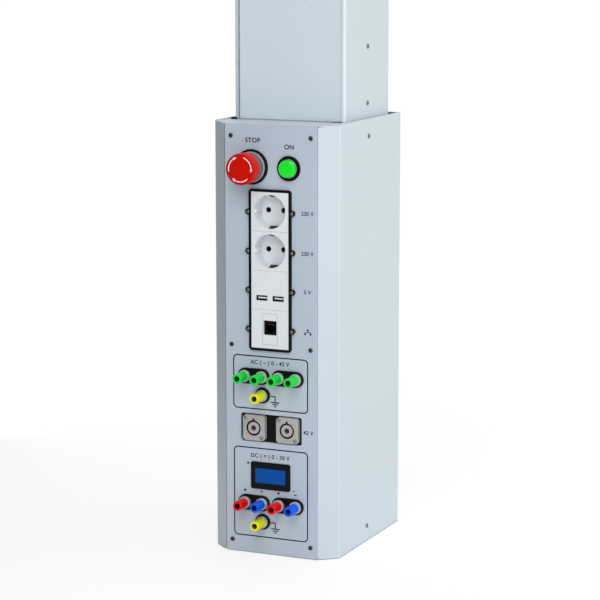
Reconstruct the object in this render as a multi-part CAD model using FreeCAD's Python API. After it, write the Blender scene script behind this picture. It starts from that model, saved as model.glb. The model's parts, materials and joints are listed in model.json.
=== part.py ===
import FreeCAD, Part
import math
import os

# A service pendant that hangs from the ceiling: a sheet-metal trunk comes down from a bolted plate
# and carries a head whose front panel holds mains sockets, data ports, an emergency stop, a lamp,
# a meter, twist-lock sockets and screw-down binding posts.
#
# All lengths are millimetres. Shapes are drawn with X to the right from the panel's middle, Y back
# from the panel's face and Z up from the head's base. The last step moves them so that the origin
# is the centre of the ceiling plate's top face.

# Ceiling plate and its two tabs
CEILING_WIDTH = 200.0
CEILING_DEPTH = 190.0
CEILING_THICKNESS = 6.0
CEILING_CORNER = 12.0
CEILING_BOLT_INSET = 15.0
CEILING_BOLT_HOLE = 11.0
CEILING_CABLE_HOLE = 90.0
TAB_THICKNESS = 6.0
TAB_WIDTH = 40.0
TAB_MARGIN = 15.0

# Trunk
TRUNK_SET_IN = 9.0
TRUNK_DEPTH = 132.5
TRUNK_WALL = 1.5
TRUNK_VISIBLE = 494.0
TRUNK_INSIDE_HEAD = 60.0
TRUNK_FRONT = 52.25
TRUNK_BEND = 2.0
LIP_WIDTH = 4.25
LIP_RETURN = 12.0
TRUNK_COVER_RECESS = 1.5
TRUNK_COVER_GAP = 0.25
TRUNK_COVER_FLANGE = 4.0
TRUNK_SCREW_OFFSET = 18.1
TRUNK_SCREW_PITCH = 65.3

# Head
HEAD_WIDTH = 156.0
HEAD_DEPTH = 202.0
HEAD_SHEET = 1.5
HEAD_BEND = 2.0
COVER_RISE = 1.5
PANEL_WIDTH = 115.0
PANEL_THICKNESS = 4.0
PANEL_EDGE = 0.5
CHAMFER_DEPTH = 18.0
PANEL_GAP = 0.5
SHEET_GAP = 0.2
FRAME_TAB = 18.0
FRAME_WINDOW_WIDTH = 86.0
FRAME_WINDOW_MARGIN = 24.0
END_FLANGE_HEIGHT = 36.0
END_FLANGE_START = 40.0
END_FLANGE_STOP = 184.0
TRUNK_CUTOUT_GAP = 1.5
SIDE_SCREW_INSET = 18.5
SIDE_SCREW_SETBACK = 101.0
EDGE_NOTCH_WIDTH = 3.0
EDGE_NOTCH_HEIGHT = 1.2
HANGER_WIDTH = 44.0
HANGER_THICKNESS = 6.0
HANGER_MARGIN = 12.0

# Rows of the panel, each above the one before, from the head's base up
DC_POST_HEIGHT = 60.4
METER_ABOVE_DC_POSTS = 33.0
LOW_SOCKETS_ABOVE_METER = 56.0
AC_POSTS_ABOVE_LOW_SOCKETS = 60.6
MODULES_ABOVE_AC_POSTS = 33.8
CONTROLS_ABOVE_MODULES = 27.6
HEAD_TOP_ABOVE_CONTROLS = 48.6

# Screws: shank, head diameter, head height and key size
SIDE_SCREW = (4.0, 5.8, 1.0, 2.2)
PANEL_SCREW = (3.0, 5.2, 1.4, 2.0)
EAR_SCREW = (2.5, 4.2, 1.2, 1.5)
FLANGE_SCREW = (3.0, 4.6, 0.8, 1.8)
SCREW_CLEARANCE = 0.4
THREAD_CLEARANCE = 0.1
CLINCH_DIAMETER = 8.0
CLINCH_HEIGHT = 4.0
SCREW_HEAD_ROUNDING_SHARE = 0.6
SCREW_KEY_DEPTH_SHARE = 0.7
LEAST_INNER_BEND = 0.3
PANEL_SCREW_X = 49.6
PANEL_SCREW_INSET = 13.8
PANEL_SCREW_ABOVE_MODULE_BASE = 1.5
PANEL_SCREW_LENGTH = 9.0

# Holes for control devices of the 22 mm size
DEVICE_DIAMETER = 22.0
DEVICE_HOLE_GAP = 0.4
LOCKNUT_FLATS = 27.0
LOCKNUT_THICKNESS = 4.0
NECK_BEYOND_NUT = 6.0

# Emergency stop
ESTOP_X = -23.3
ESTOP_RING_DIAMETER = 40.4
ESTOP_RING_THICKNESS = 3.0
ESTOP_RING_ROUNDING = 1.0
ESTOP_RIM_DIAMETER = 35.0
ESTOP_RIM_THICKNESS = 1.8
ESTOP_RIM_ROUNDING = 0.6
ESTOP_CONE_BASE = 32.4
ESTOP_CONE_TIP = 28.6
ESTOP_CONE_LENGTH = 14.2
ESTOP_TRAVEL = 4.0
ESTOP_STOP_GAP = 0.5
ESTOP_HEAD_DIAMETER = 35.6
ESTOP_SKIRT_WALL = 1.7
ESTOP_SKIRT_LENGTH = 5.5
ESTOP_HEAD_THICKNESS = 8.5
ESTOP_HEAD_ROUNDING = 1.6
ESTOP_PLUNGER_DIAMETER = 14.0
ESTOP_BEARING_DEPTH = 5.0
ESTOP_FLANGE_DIAMETER = 18.0
ESTOP_FLANGE_THICKNESS = 2.5
ESTOP_BLOCK_WIDTH = 30.0
ESTOP_BLOCK_HEIGHT = 40.0
ESTOP_BLOCK_BACK = 4.0
ESTOP_FLANGE_GAP = 0.3
RUNNING_GAP = 0.05

# Indicator lamp
LAMP_X = 22.9
LAMP_BEZEL_DIAMETER = 28.4
LAMP_BEZEL_THICKNESS = 2.6
LAMP_BEZEL_ROUNDING = 0.9
LAMP_RING_DIAMETER = 22.0
LAMP_RING_HEIGHT = 1.8
LAMP_RING_CHAMFER = 0.5
LAMP_LENS_DIAMETER = 19.2
LAMP_LENS_PROUD = 6.6
LAMP_LENS_GAP = 0.15
LAMP_LENS_ROUNDING = 1.2
LAMP_BODY_LENGTH = 34.0

# Column of four 45 mm modules in a black frame
MODULE_WIDTH = 46.7
MODULE_PITCH = 45.0
MODULE_GAP = 0.12
MODULE_COUNT = 4
MODULE_PLATE = 3.0
MODULE_RECESS = 0.4
SOCKET_FRAME_BORDER = 2.95
SOCKET_FRAME_PROUD = 3.0
SOCKET_FRAME_CORNER = 4.0
SOCKET_SPIGOT_WALL = 1.25
SOCKET_SPIGOT_DEPTH = 6.0
SPIGOT_GAP = 0.25
EAR_X = 27.4
EAR_RADIUS = 3.4
EAR_DROP = 0.85
EAR_SCREW_LENGTH = 8.0

# Mains sockets
WELL_DIAMETER = 39.0
WELL_DEPTH = 17.5
WELL_WALL = 2.0
WELL_FLOOR = 3.0
PIN_PITCH = 19.0
PIN_HOLE = 6.4
PIN_CONTACT_SPACE = 4.9
PIN_CONTACT_SHEET = 0.8
PIN_CONTACT_WIDTH = 6.0
PIN_CONTACT_LENGTH = 13.0
CONTACT_GAP = 0.2
SOCKET_BODY_SIZE = 38.0
SOCKET_BODY_DEPTH = 15.0
EARTH_CLIP_WIDTH = 4.6
EARTH_CLIP_THICKNESS = 0.8
EARTH_CLIP_BOW = 2.4
EARTH_CLIP_FOOT = 8.0
EARTH_CLIP_START = 3.5
EARTH_CLIP_BOW_AT = 7.875
EARTH_CLIP_RISE = 2.0
EARTH_SLOT_MARGIN = 0.5
EARTH_SLOT_START = 2.625
GUIDE_RIB_WIDTH = 4.0
GUIDE_RIB_DEPTH = 1.8
GUIDE_RIB_SETBACK = 2.5

# Charging ports
USB_PITCH = 20.4
USB_HOLE_WIDTH = 14.2
USB_HOLE_HEIGHT = 6.2
USB_BELOW_CENTRE = 9.2
USB_SHELL_WALL = 0.4
USB_SHELL_DEPTH = 14.0
USB_SHELL_SETBACK = 1.0
USB_SHELL_GAP = 0.1
USB_TONGUE_WIDTH = 11.1
USB_TONGUE_THICKNESS = 1.9
USB_TONGUE_SETBACK = 1.5
USB_BACK = 1.5

# Data port
LAN_INSERT_WIDTH = 18.2
LAN_INSERT_HEIGHT = 35.8
LAN_INSERT_GAP = 0.15
LAN_OPENING_WIDTH = 16.4
LAN_OPENING_HEIGHT = 16.8
LAN_OPENING_RAISE = 1.6
LAN_JACK_SETBACK = 2.4
LAN_JACK_DEPTH = 22.0
LAN_JACK_GAP = 0.15
LAN_PLUG_WIDTH = 11.9
LAN_PLUG_HEIGHT = 8.0
LAN_PLUG_DEPTH = 13.0
LAN_LATCH_WIDTH = 6.2
LAN_LATCH_HEIGHT = 2.6

# Twist-lock sockets in their cut-out
LOW_CUTOUT_WIDTH = 77.0
LOW_CUTOUT_HEIGHT = 33.0
LOW_CUTOUT_CORNER = 3.0
LOW_BACKPLATE_OVERLAP = 4.0
LOW_BACKPLATE_THICKNESS = 2.0
LOW_SOCKET_X = 21.0
LOW_FLANGE_WIDTH = 27.5
LOW_FLANGE_HEIGHT = 30.0
LOW_FLANGE_PROUD = 2.5
LOW_FLANGE_CUT = 2.6
LOW_EDGE_ROUNDING = 0.5
LOW_RIM_DIAMETER = 24.0
LOW_RIM_HEIGHT = 0.5
LOW_RIM_ROUNDING = 0.4
LOW_GROOVE_DIAMETER = 18.4
LOW_CORE_DIAMETER = 14.2
LOW_GROOVE_DEPTH = 11.0
LOW_CENTRE_HOLE = 6.4
LOW_CENTRE_DEPTH = 9.0
LOW_KEY_WIDTH = 2.6
LOW_KEY_HEIGHT = 2.0
LOW_BODY_DIAMETER = 23.6
LOW_BODY_DEPTH = 20.0
LOW_BODY_GAP = 0.2
LOW_SCREW_X = 10.2
LOW_SCREW_Z = 11.6
LOW_SCREW_LENGTH = 9.5

# Panel meter
METER_WIDTH = 49.8
METER_HEIGHT = 32.0
METER_CENTRE_X = -0.5
METER_PROUD = 2.4
METER_CORNER = 2.5
METER_BEVEL = 1.0
METER_BODY_WIDTH = 45.4
METER_BODY_HEIGHT = 26.4
METER_BODY_DEPTH = 20.0
METER_BODY_GAP = 0.25
METER_WINDOW_WIDTH = 38.8
METER_WINDOW_HEIGHT = 17.6
METER_WINDOW_RECESS = 1.0
METER_WINDOW_THICKNESS = 1.2
METER_WINDOW_GAP = 0.1

# Binding posts
POST_PITCH = 21.4
POST_PAIR_X = 21.3
EARTH_POST_X = -10.3
EARTH_POST_DROP = 21.7
BASE_HEIGHT = 18.4
BASE_THICKNESS = 3.0
BASE_CHAMFER = 0.8
COLLAR_DIAMETER = 14.0
COLLAR_THICKNESS = 3.5
COLLAR_CHAMFER = 0.4
STUD_DIAMETER = 6.0
STUD_HOLE_GAP = 0.4
PLUG_BORE = 4.1
PLUG_BORE_DEPTH = 16.0
STUD_BEHIND_PANEL = 20.0
CAP_FRONT_DIAMETER = 11.6
CAP_REAR_DIAMETER = 11.0
CAP_LENGTH = 17.4
CAP_GAP = 0.3
CAP_MOUTH = 6.4
CAP_MOUTH_DEPTH = 7.0
CAP_ROUNDING = 0.5
STUD_BEHIND_MOUTH = 7.6
BUSH_DIAMETER = 8.2
BUSH_END_GAP = 0.15
POST_NUT_FLATS = 10.0
POST_NUT_THICKNESS = 5.0

# Places that follow from the sizes
METER_CENTRE_HEIGHT = DC_POST_HEIGHT + METER_ABOVE_DC_POSTS
LOW_CENTRE_HEIGHT = METER_CENTRE_HEIGHT + LOW_SOCKETS_ABOVE_METER
AC_POST_HEIGHT = LOW_CENTRE_HEIGHT + AC_POSTS_ABOVE_LOW_SOCKETS
MODULE_BASE = AC_POST_HEIGHT + MODULES_ABOVE_AC_POSTS
MODULE_TOP = MODULE_BASE + MODULE_PITCH * MODULE_COUNT
DEVICE_HEIGHT = MODULE_TOP + CONTROLS_ABOVE_MODULES
HEAD_HEIGHT = DEVICE_HEIGHT + HEAD_TOP_ABOVE_CONTROLS
TRUNK_BACK = TRUNK_FRONT + TRUNK_DEPTH
TRUNK_CENTRE_Y = TRUNK_FRONT + TRUNK_DEPTH / 2
TRUNK_BASE = HEAD_HEIGHT - TRUNK_INSIDE_HEAD
TRUNK_TOP = HEAD_HEIGHT + TRUNK_VISIBLE
ORIGIN_Z = TRUNK_TOP + CEILING_THICKNESS
TO_ORIGIN = FreeCAD.Vector(0, -TRUNK_CENTRE_Y, -ORIGIN_Z)
HEAD_HALF = HEAD_WIDTH / 2
TRUNK_HALF = HEAD_HALF - TRUNK_SET_IN
PANEL_HALF = PANEL_WIDTH / 2
INNER_HALF = HEAD_HALF - HEAD_SHEET - SHEET_GAP
CHAMFER_SLOPE = CHAMFER_DEPTH / (HEAD_HALF - PANEL_HALF)
SIDE_SCREW_HEIGHTS = (SIDE_SCREW_INSET, HEAD_HEIGHT - SIDE_SCREW_INSET)
DEVICE_HOLE = DEVICE_DIAMETER + DEVICE_HOLE_GAP
LOCKNUT_BACK = PANEL_THICKNESS + LOCKNUT_THICKNESS
NECK_END = LOCKNUT_BACK + NECK_BEYOND_NUT
MODULE_FACE = -SOCKET_FRAME_PROUD + MODULE_RECESS
BASE_FACE = -BASE_THICKNESS
COLLAR_FACE = BASE_FACE - COLLAR_THICKNESS
CAP_REAR = COLLAR_FACE - CAP_GAP
CAP_FRONT = CAP_REAR - CAP_LENGTH
ESTOP_RIM_FRONT = -ESTOP_RING_THICKNESS - ESTOP_RIM_THICKNESS
ESTOP_TIP = ESTOP_RIM_FRONT - ESTOP_CONE_LENGTH
ESTOP_CAVITY_FLOOR = ESTOP_TIP - ESTOP_TRAVEL - ESTOP_STOP_GAP
ESTOP_SKIRT_END = ESTOP_CAVITY_FLOOR + ESTOP_SKIRT_LENGTH
ESTOP_FRONT = ESTOP_CAVITY_FLOOR - ESTOP_HEAD_THICKNESS
ESTOP_SOCKET_FLOOR = ESTOP_CAVITY_FLOOR - ESTOP_BEARING_DEPTH
PLUNGER_FRONT = ESTOP_SOCKET_FLOOR + ESTOP_FLANGE_GAP
PLUNGER_FLANGE = NECK_END + ESTOP_FLANGE_GAP
PLUNGER_END = PLUNGER_FLANGE + ESTOP_FLANGE_THICKNESS


# General shapes

def box(x0, x1, y0, y1, z0, z1):
    return Part.makeBox(x1 - x0, y1 - y0, z1 - z0, FreeCAD.Vector(x0, y0, z0))


def disc(x, z, diameter, y0, y1):
    """A round solid whose axis runs back from the panel."""
    return Part.makeCylinder(diameter / 2, y1 - y0, FreeCAD.Vector(x, y0, z), FreeCAD.Vector(0, 1, 0))


def cone(x, z, front_diameter, rear_diameter, y0, y1):
    base = FreeCAD.Vector(x, y0, z)
    return Part.makeCone(front_diameter / 2, rear_diameter / 2, y1 - y0, base, FreeCAD.Vector(0, 1, 0))


def edges_along(shape, axis):
    """The straight edges that run along one axis, given as a unit vector."""
    found = []
    for edge in shape.Edges:
        direction = edge.tangentAt(edge.FirstParameter)
        straight = abs(edge.Length - edge.Vertexes[0].Point.distanceToPoint(edge.Vertexes[-1].Point)) < 1e-6
        if straight and abs(direction.dot(axis)) > 0.999:
            found.append(edge)
    return found


def rounded_box(x, z, width, height, corner, y0, y1):
    """A box centred on x and z whose four edges along Y are rounded."""
    solid = box(x - width / 2, x + width / 2, y0, y1, z - height / 2, z + height / 2)
    return solid.makeFillet(corner, edges_along(solid, FreeCAD.Vector(0, 1, 0)))


def stadium(x, z, length, height, y0, y1):
    """An oval with round ends."""
    reach = (length - height) / 2
    middle = box(x - reach, x + reach, y0, y1, z - height / 2, z + height / 2)
    ends = [disc(x - reach, z, height, y0, y1), disc(x + reach, z, height, y0, y1)]
    return middle.multiFuse(ends).removeSplitter()


def front_edges(shape):
    """The edges that lie in the front face of a shape."""
    front = shape.BoundBox.YMin
    return [edge for edge in shape.Edges if edge.BoundBox.YMax < front + 1e-4]


def prism(outline, z0, z1):
    """A level outline of X and Y points, raised from z0 to z1."""
    points = [FreeCAD.Vector(x, y, z0) for x, y in outline]
    wire = Part.makePolygon(points + points[:1])
    return Part.Face(wire).extrude(FreeCAD.Vector(0, 0, z1 - z0))


def hexagon_corners(flats):
    """The corners of a hexagon as pairs across and up, with the first one repeated."""
    radius = flats / 2 / math.cos(math.pi / 6)
    turns = [math.radians(60 * step) for step in range(7)]
    return [(radius * math.cos(turn), radius * math.sin(turn)) for turn in turns]


def hexagon(x, z, flats, y0, y1):
    corners = [FreeCAD.Vector(x + across, y0, z + up) for across, up in hexagon_corners(flats)]
    return Part.Face(Part.makePolygon(corners)).extrude(FreeCAD.Vector(0, y1 - y0, 0))


def folded_sheet(path, thickness, bend, z0, z1, sharp=()):
    """A sheet folded along upright bends. The path is its outer face and the metal lies on the right."""
    inner = []
    outer_bends = []
    inner_bends = []
    normals = []
    for (x0, y0), (x1, y1) in zip(path, path[1:]):
        length = math.hypot(x1 - x0, y1 - y0)
        normals.append(((y1 - y0) / length, -(x1 - x0) / length))
    for index, (x, y) in enumerate(path):
        before = normals[max(index - 1, 0)]
        after = normals[min(index, len(normals) - 1)]
        share = thickness / (1 + before[0] * after[0] + before[1] * after[1])
        inner_point = (x + share * (before[0] + after[0]), y + share * (before[1] + after[1]))
        inner.append(inner_point)
        if 0 < index < len(path) - 1 and index not in sharp:
            right_turn = before[0] * after[1] - before[1] * after[0] < 0
            outer_bends.append((x, y) if right_turn else inner_point)
            inner_bends.append(inner_point if right_turn else (x, y))
    solid = prism(path + inner[::-1], z0, z1)
    for places, radius in ((outer_bends, bend), (inner_bends, max(bend - thickness, LEAST_INNER_BEND))):
        chosen = []
        for edge in edges_along(solid, FreeCAD.Vector(0, 0, 1)):
            point = edge.Vertexes[0].Point
            if any(math.hypot(point.x - x, point.y - y) < 1e-3 for x, y in places):
                chosen.append(edge)
        solid = solid.makeFillet(radius, chosen)
    return solid


def screw(size, length):
    """A button-head screw with a hexagon key hole: head under the origin, shank up along Z."""
    shank, head, head_height, key = size
    solid = Part.makeCylinder(head / 2, head_height, FreeCAD.Vector(0, 0, -head_height))
    rim = [edge for edge in solid.Edges if edge.BoundBox.ZMax < -head_height + 1e-4]
    solid = solid.makeFillet(head_height * SCREW_HEAD_ROUNDING_SHARE, rim)
    solid = solid.fuse(Part.makeCylinder(shank / 2, length))
    corners = [FreeCAD.Vector(across, up, -head_height) for across, up in hexagon_corners(key)]
    depth = FreeCAD.Vector(0, 0, head_height * SCREW_KEY_DEPTH_SHARE)
    return solid.cut(Part.Face(Part.makePolygon(corners)).extrude(depth))


def placed(solid, position, direction):
    """A shape drawn along Z, set at a position and turned along a direction."""
    turn = FreeCAD.Rotation(FreeCAD.Vector(0, 0, 1), direction)
    copy = solid.copy()
    copy.Placement = FreeCAD.Placement(position, turn)
    return copy


def side_hole(y, z, diameter, x0, x1):
    """A round solid across the object, to drill both sides at once."""
    return Part.makeCylinder(diameter / 2, x1 - x0, FreeCAD.Vector(x0, y, z), FreeCAD.Vector(1, 0, 0))


def drilled(shape, holes):
    """A shape with every hole of a list cut out."""
    return shape.cut(Part.makeCompound(holes))


def save(name, solids):
    """Write one node: its solids, moved to the object's own origin."""
    moved = []
    for solid in solids:
        copy = solid.copy()
        copy.translate(TO_ORIGIN)
        moved.extend(copy.Solids)
    for solid in moved:
        if not solid.isValid() or solid.Volume <= 0:
            raise RuntimeError("not a sound solid: " + name)
    shape = moved[0] if len(moved) == 1 else Part.makeCompound(moved)
    shape.exportStep(os.path.join("parts", name + ".step"))
    print(name, len(moved), round(sum(solid.Volume for solid in moved), 1))


# Ceiling plate and trunk

def trunk_screw_heights():
    """Two rows of screws above the head and two under the ceiling."""
    low = HEAD_HEIGHT + TRUNK_SCREW_OFFSET
    high = TRUNK_TOP - TRUNK_SCREW_OFFSET
    return [low, low + TRUNK_SCREW_PITCH, high - TRUNK_SCREW_PITCH, high]


def side_hole_set(diameter, places):
    """Holes through both sides at each (y, z) place."""
    return [side_hole(y, z, diameter, -HEAD_WIDTH, HEAD_WIDTH) for y, z in places]


def ceiling_plate():
    plate = box(-CEILING_WIDTH / 2, CEILING_WIDTH / 2, TRUNK_CENTRE_Y - CEILING_DEPTH / 2,
                TRUNK_CENTRE_Y + CEILING_DEPTH / 2, TRUNK_TOP, ORIGIN_Z)
    plate = plate.makeFillet(CEILING_CORNER, edges_along(plate, FreeCAD.Vector(0, 0, 1)))
    holes = [Part.makeCylinder(CEILING_CABLE_HOLE / 2, CEILING_THICKNESS,
                               FreeCAD.Vector(0, TRUNK_CENTRE_Y, TRUNK_TOP))]
    bolt_x = CEILING_WIDTH / 2 - CEILING_BOLT_INSET
    bolt_y = CEILING_DEPTH / 2 - CEILING_BOLT_INSET
    for x in (-bolt_x, bolt_x):
        for y in (-bolt_y, bolt_y):
            holes.append(Part.makeCylinder(CEILING_BOLT_HOLE / 2, CEILING_THICKNESS,
                                           FreeCAD.Vector(x, TRUNK_CENTRE_Y + y, TRUNK_TOP)))
    plate = drilled(plate, holes)
    tab_outer = TRUNK_HALF - TRUNK_WALL
    tab_length = TRUNK_SCREW_OFFSET + TRUNK_SCREW_PITCH + TAB_MARGIN
    tabs = []
    for x0 in (-tab_outer, tab_outer - TAB_THICKNESS):
        tabs.append(box(x0, x0 + TAB_THICKNESS, TRUNK_CENTRE_Y - TAB_WIDTH / 2,
                        TRUNK_CENTRE_Y + TAB_WIDTH / 2, TRUNK_TOP - tab_length, TRUNK_TOP))
    plate = plate.multiFuse(tabs).removeSplitter()
    places = [(TRUNK_CENTRE_Y, z) for z in trunk_screw_heights()]
    return drilled(plate, side_hole_set(SIDE_SCREW[0] + THREAD_CLEARANCE, places))


def trunk_channel():
    lip = TRUNK_HALF - LIP_WIDTH
    path = [
        (-lip, TRUNK_FRONT + LIP_RETURN), (-lip, TRUNK_FRONT), (-TRUNK_HALF, TRUNK_FRONT),
        (-TRUNK_HALF, TRUNK_BACK), (TRUNK_HALF, TRUNK_BACK), (TRUNK_HALF, TRUNK_FRONT),
        (lip, TRUNK_FRONT), (lip, TRUNK_FRONT + LIP_RETURN)]
    channel = folded_sheet(path, TRUNK_WALL, TRUNK_BEND, TRUNK_BASE, TRUNK_TOP)
    places = [(TRUNK_CENTRE_Y, z) for z in trunk_screw_heights()]
    places.append((SIDE_SCREW_SETBACK, SIDE_SCREW_HEIGHTS[1]))
    return drilled(channel, side_hole_set(SIDE_SCREW[0] + SCREW_CLEARANCE, places))


def trunk_cover():
    half = TRUNK_HALF - LIP_WIDTH - TRUNK_COVER_GAP
    face = TRUNK_FRONT + TRUNK_COVER_RECESS
    back = face + TRUNK_COVER_FLANGE
    path = [(half, back), (half, face), (-half, face), (-half, back)]
    return folded_sheet(path, TRUNK_WALL, TRUNK_BEND, TRUNK_BASE, TRUNK_TOP)


def hanger_bars():
    """Two tapped bars inside the trunk that carry the head."""
    top = HEAD_HEIGHT + TRUNK_SCREW_OFFSET + TRUNK_SCREW_PITCH + HANGER_MARGIN
    middle = (TRUNK_CENTRE_Y + SIDE_SCREW_SETBACK) / 2
    outer = TRUNK_HALF - TRUNK_WALL
    bars = []
    for x0 in (-outer, outer - HANGER_THICKNESS):
        bars.append(box(x0, x0 + HANGER_THICKNESS, middle - HANGER_WIDTH / 2,
                        middle + HANGER_WIDTH / 2, TRUNK_BASE, top))
    places = [(TRUNK_CENTRE_Y, z) for z in trunk_screw_heights()]
    places.append((SIDE_SCREW_SETBACK, SIDE_SCREW_HEIGHTS[1]))
    holes = side_hole_set(SIDE_SCREW[0] + THREAD_CLEARANCE, places)
    return [drilled(bar, holes) for bar in bars]


def packing_bars():
    """Two bars that fill the gap between the trunk's sides and the flanges of the head's top."""
    outer = INNER_HALF - HEAD_SHEET
    top = HEAD_HEIGHT - HEAD_SHEET - HEAD_BEND
    bars = []
    for x0, x1 in ((-outer, -TRUNK_HALF), (TRUNK_HALF, outer)):
        bars.append(box(x0, x1, SIDE_SCREW_SETBACK - HANGER_WIDTH / 2, SIDE_SCREW_SETBACK + HANGER_WIDTH / 2,
                        HEAD_HEIGHT - END_FLANGE_HEIGHT, top))
    holes = side_hole_set(SIDE_SCREW[0] + SCREW_CLEARANCE, [(SIDE_SCREW_SETBACK, SIDE_SCREW_HEIGHTS[1])])
    return [drilled(bar, holes) for bar in bars]


def side_screws():
    """The screws in the sides of the trunk and of the head."""
    head_length = HEAD_HALF - TRUNK_HALF + TRUNK_WALL + HANGER_THICKNESS
    foot_length = HEAD_SHEET * 2 + SHEET_GAP + CLINCH_HEIGHT
    trunk_length = TRUNK_WALL + HANGER_THICKNESS
    rows = [(TRUNK_HALF, TRUNK_CENTRE_Y, z, trunk_length) for z in trunk_screw_heights()]
    rows.append((HEAD_HALF, SIDE_SCREW_SETBACK, SIDE_SCREW_HEIGHTS[1], head_length))
    rows.append((HEAD_HALF, SIDE_SCREW_SETBACK, SIDE_SCREW_HEIGHTS[0], foot_length))
    screws = []
    for half, y, z, length in rows:
        for side in (-1, 1):
            position = FreeCAD.Vector(side * half, y, z)
            screws.append(placed(screw(SIDE_SCREW, length), position, FreeCAD.Vector(-side, 0, 0)))
    return screws


# Head: folded front frame, cover, end plates and panel

def chamfer_y(x):
    """How far back the slanted face is at a distance x from the middle."""
    return (abs(x) - PANEL_HALF) * CHAMFER_SLOPE


def panel_screw_places():
    middle = MODULE_BASE + PANEL_SCREW_ABOVE_MODULE_BASE
    heights = (PANEL_SCREW_INSET, middle, HEAD_HEIGHT - PANEL_SCREW_INSET)
    return [(x, z) for z in heights for x in (-PANEL_SCREW_X, PANEL_SCREW_X)]


def front_frame():
    """The folded frame behind the panel, with the two slanted faces beside it."""
    seat = PANEL_HALF + PANEL_GAP
    back = chamfer_y(INNER_HALF) + FRAME_TAB
    right = [
        (INNER_HALF, back), (INNER_HALF, chamfer_y(INNER_HALF)), (seat, chamfer_y(seat)),
        (seat, PANEL_THICKNESS)]
    left = [(-x, y) for x, y in right[::-1]]
    frame = folded_sheet(right + left, HEAD_SHEET, HEAD_BEND, HEAD_SHEET, HEAD_HEIGHT - HEAD_SHEET,
                         sharp=(2, 3, 4, 5))
    window = box(-FRAME_WINDOW_WIDTH / 2, FRAME_WINDOW_WIDTH / 2, 0, PANEL_THICKNESS + 2 * HEAD_SHEET,
                 FRAME_WINDOW_MARGIN, HEAD_HEIGHT - FRAME_WINDOW_MARGIN)
    frame = frame.cut(window)
    seat_back = PANEL_THICKNESS + HEAD_SHEET
    bosses = [disc(x, z, PANEL_SCREW[1], seat_back, seat_back + CLINCH_HEIGHT)
              for x, z in panel_screw_places()]
    frame = frame.multiFuse(bosses)
    holes = [disc(x, z, PANEL_SCREW[0] + THREAD_CLEARANCE, 0, seat_back + CLINCH_HEIGHT)
             for x, z in panel_screw_places()]
    return drilled(frame, holes)


def housing_cover():
    """The folded back and sides of the head."""
    path = [(-HEAD_HALF, CHAMFER_DEPTH), (-HEAD_HALF, HEAD_DEPTH), (HEAD_HALF, HEAD_DEPTH),
            (HEAD_HALF, CHAMFER_DEPTH)]
    top = HEAD_HEIGHT + COVER_RISE
    cover = folded_sheet(path, HEAD_SHEET, HEAD_BEND, 0, top)
    places = [(SIDE_SCREW_SETBACK, z) for z in SIDE_SCREW_HEIGHTS]
    cuts = side_hole_set(SIDE_SCREW[0] + SCREW_CLEARANCE, places)
    for z0, z1 in ((0, EDGE_NOTCH_HEIGHT), (top - EDGE_NOTCH_HEIGHT, top)):
        cuts.append(box(-HEAD_WIDTH, HEAD_WIDTH, SIDE_SCREW_SETBACK - EDGE_NOTCH_WIDTH / 2,
                        SIDE_SCREW_SETBACK + EDGE_NOTCH_WIDTH / 2, z0, z1))
    return drilled(cover, cuts)


def end_plate(z0, inwards):
    """A level plate with a flange down each side. Inwards is 1 for the base and -1 for the top."""
    front = PANEL_THICKNESS + SHEET_GAP
    front_half = PANEL_HALF + front / CHAMFER_SLOPE
    back = HEAD_DEPTH - HEAD_SHEET - SHEET_GAP
    outline = [
        (-front_half, front), (front_half, front), (INNER_HALF, chamfer_y(INNER_HALF)),
        (INNER_HALF, back), (-INNER_HALF, back), (-INNER_HALF, chamfer_y(INNER_HALF))]
    inner_face = z0 + inwards * HEAD_SHEET
    flange_end = z0 + inwards * END_FLANGE_HEIGHT
    plate = prism(outline, min(z0, inner_face), max(z0, inner_face))
    flanges = []
    for x0 in (-INNER_HALF, INNER_HALF - HEAD_SHEET):
        flanges.append(box(x0, x0 + HEAD_SHEET, END_FLANGE_START, END_FLANGE_STOP,
                           min(inner_face, flange_end), max(inner_face, flange_end)))
    return plate.multiFuse(flanges).removeSplitter()


def top_plate():
    plate = end_plate(HEAD_HEIGHT, -1)
    gap = TRUNK_CUTOUT_GAP
    cut = box(-TRUNK_HALF - gap, TRUNK_HALF + gap, TRUNK_FRONT - gap, TRUNK_BACK + gap,
              HEAD_HEIGHT - HEAD_SHEET, HEAD_HEIGHT)
    holes = side_hole_set(SIDE_SCREW[0] + SCREW_CLEARANCE, [(SIDE_SCREW_SETBACK, SIDE_SCREW_HEIGHTS[1])])
    return drilled(plate, [cut] + holes)


def bottom_plate():
    plate = end_plate(0, 1)
    height = SIDE_SCREW_HEIGHTS[0]
    flange = INNER_HALF - HEAD_SHEET
    nuts = []
    for x0 in (-flange, flange - CLINCH_HEIGHT):
        nuts.append(side_hole(SIDE_SCREW_SETBACK, height, CLINCH_DIAMETER, x0, x0 + CLINCH_HEIGHT))
    plate = plate.multiFuse(nuts)
    return drilled(plate, side_hole_set(SIDE_SCREW[0] + THREAD_CLEARANCE, [(SIDE_SCREW_SETBACK, height)]))


def post_places():
    """Name, x and height of every binding post."""
    places = []
    for group, height, colours in (
            ("ac", AC_POST_HEIGHT, ("green", "green", "green", "green")),
            ("dc", DC_POST_HEIGHT, ("red", "blue", "red", "blue"))):
        columns = []
        for pair in (-POST_PAIR_X, POST_PAIR_X):
            columns += [pair - POST_PITCH / 2, pair + POST_PITCH / 2]
        for number, (x, colour) in enumerate(zip(columns, colours), start=1):
            places.append((group + "_" + colour + "_" + str(number), x, height))
        places.append((group + "_earth", EARTH_POST_X, height - EARTH_POST_DROP))
    return places


def module_centres():
    """Heights of the modules' centres, from the top down."""
    return [MODULE_TOP - MODULE_PITCH * (row + 0.5) for row in range(MODULE_COUNT)]


def ear_places():
    places = []
    for centre in module_centres():
        places += [(-EAR_X, centre - EAR_DROP), (EAR_X, centre - EAR_DROP)]
    return places


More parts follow.
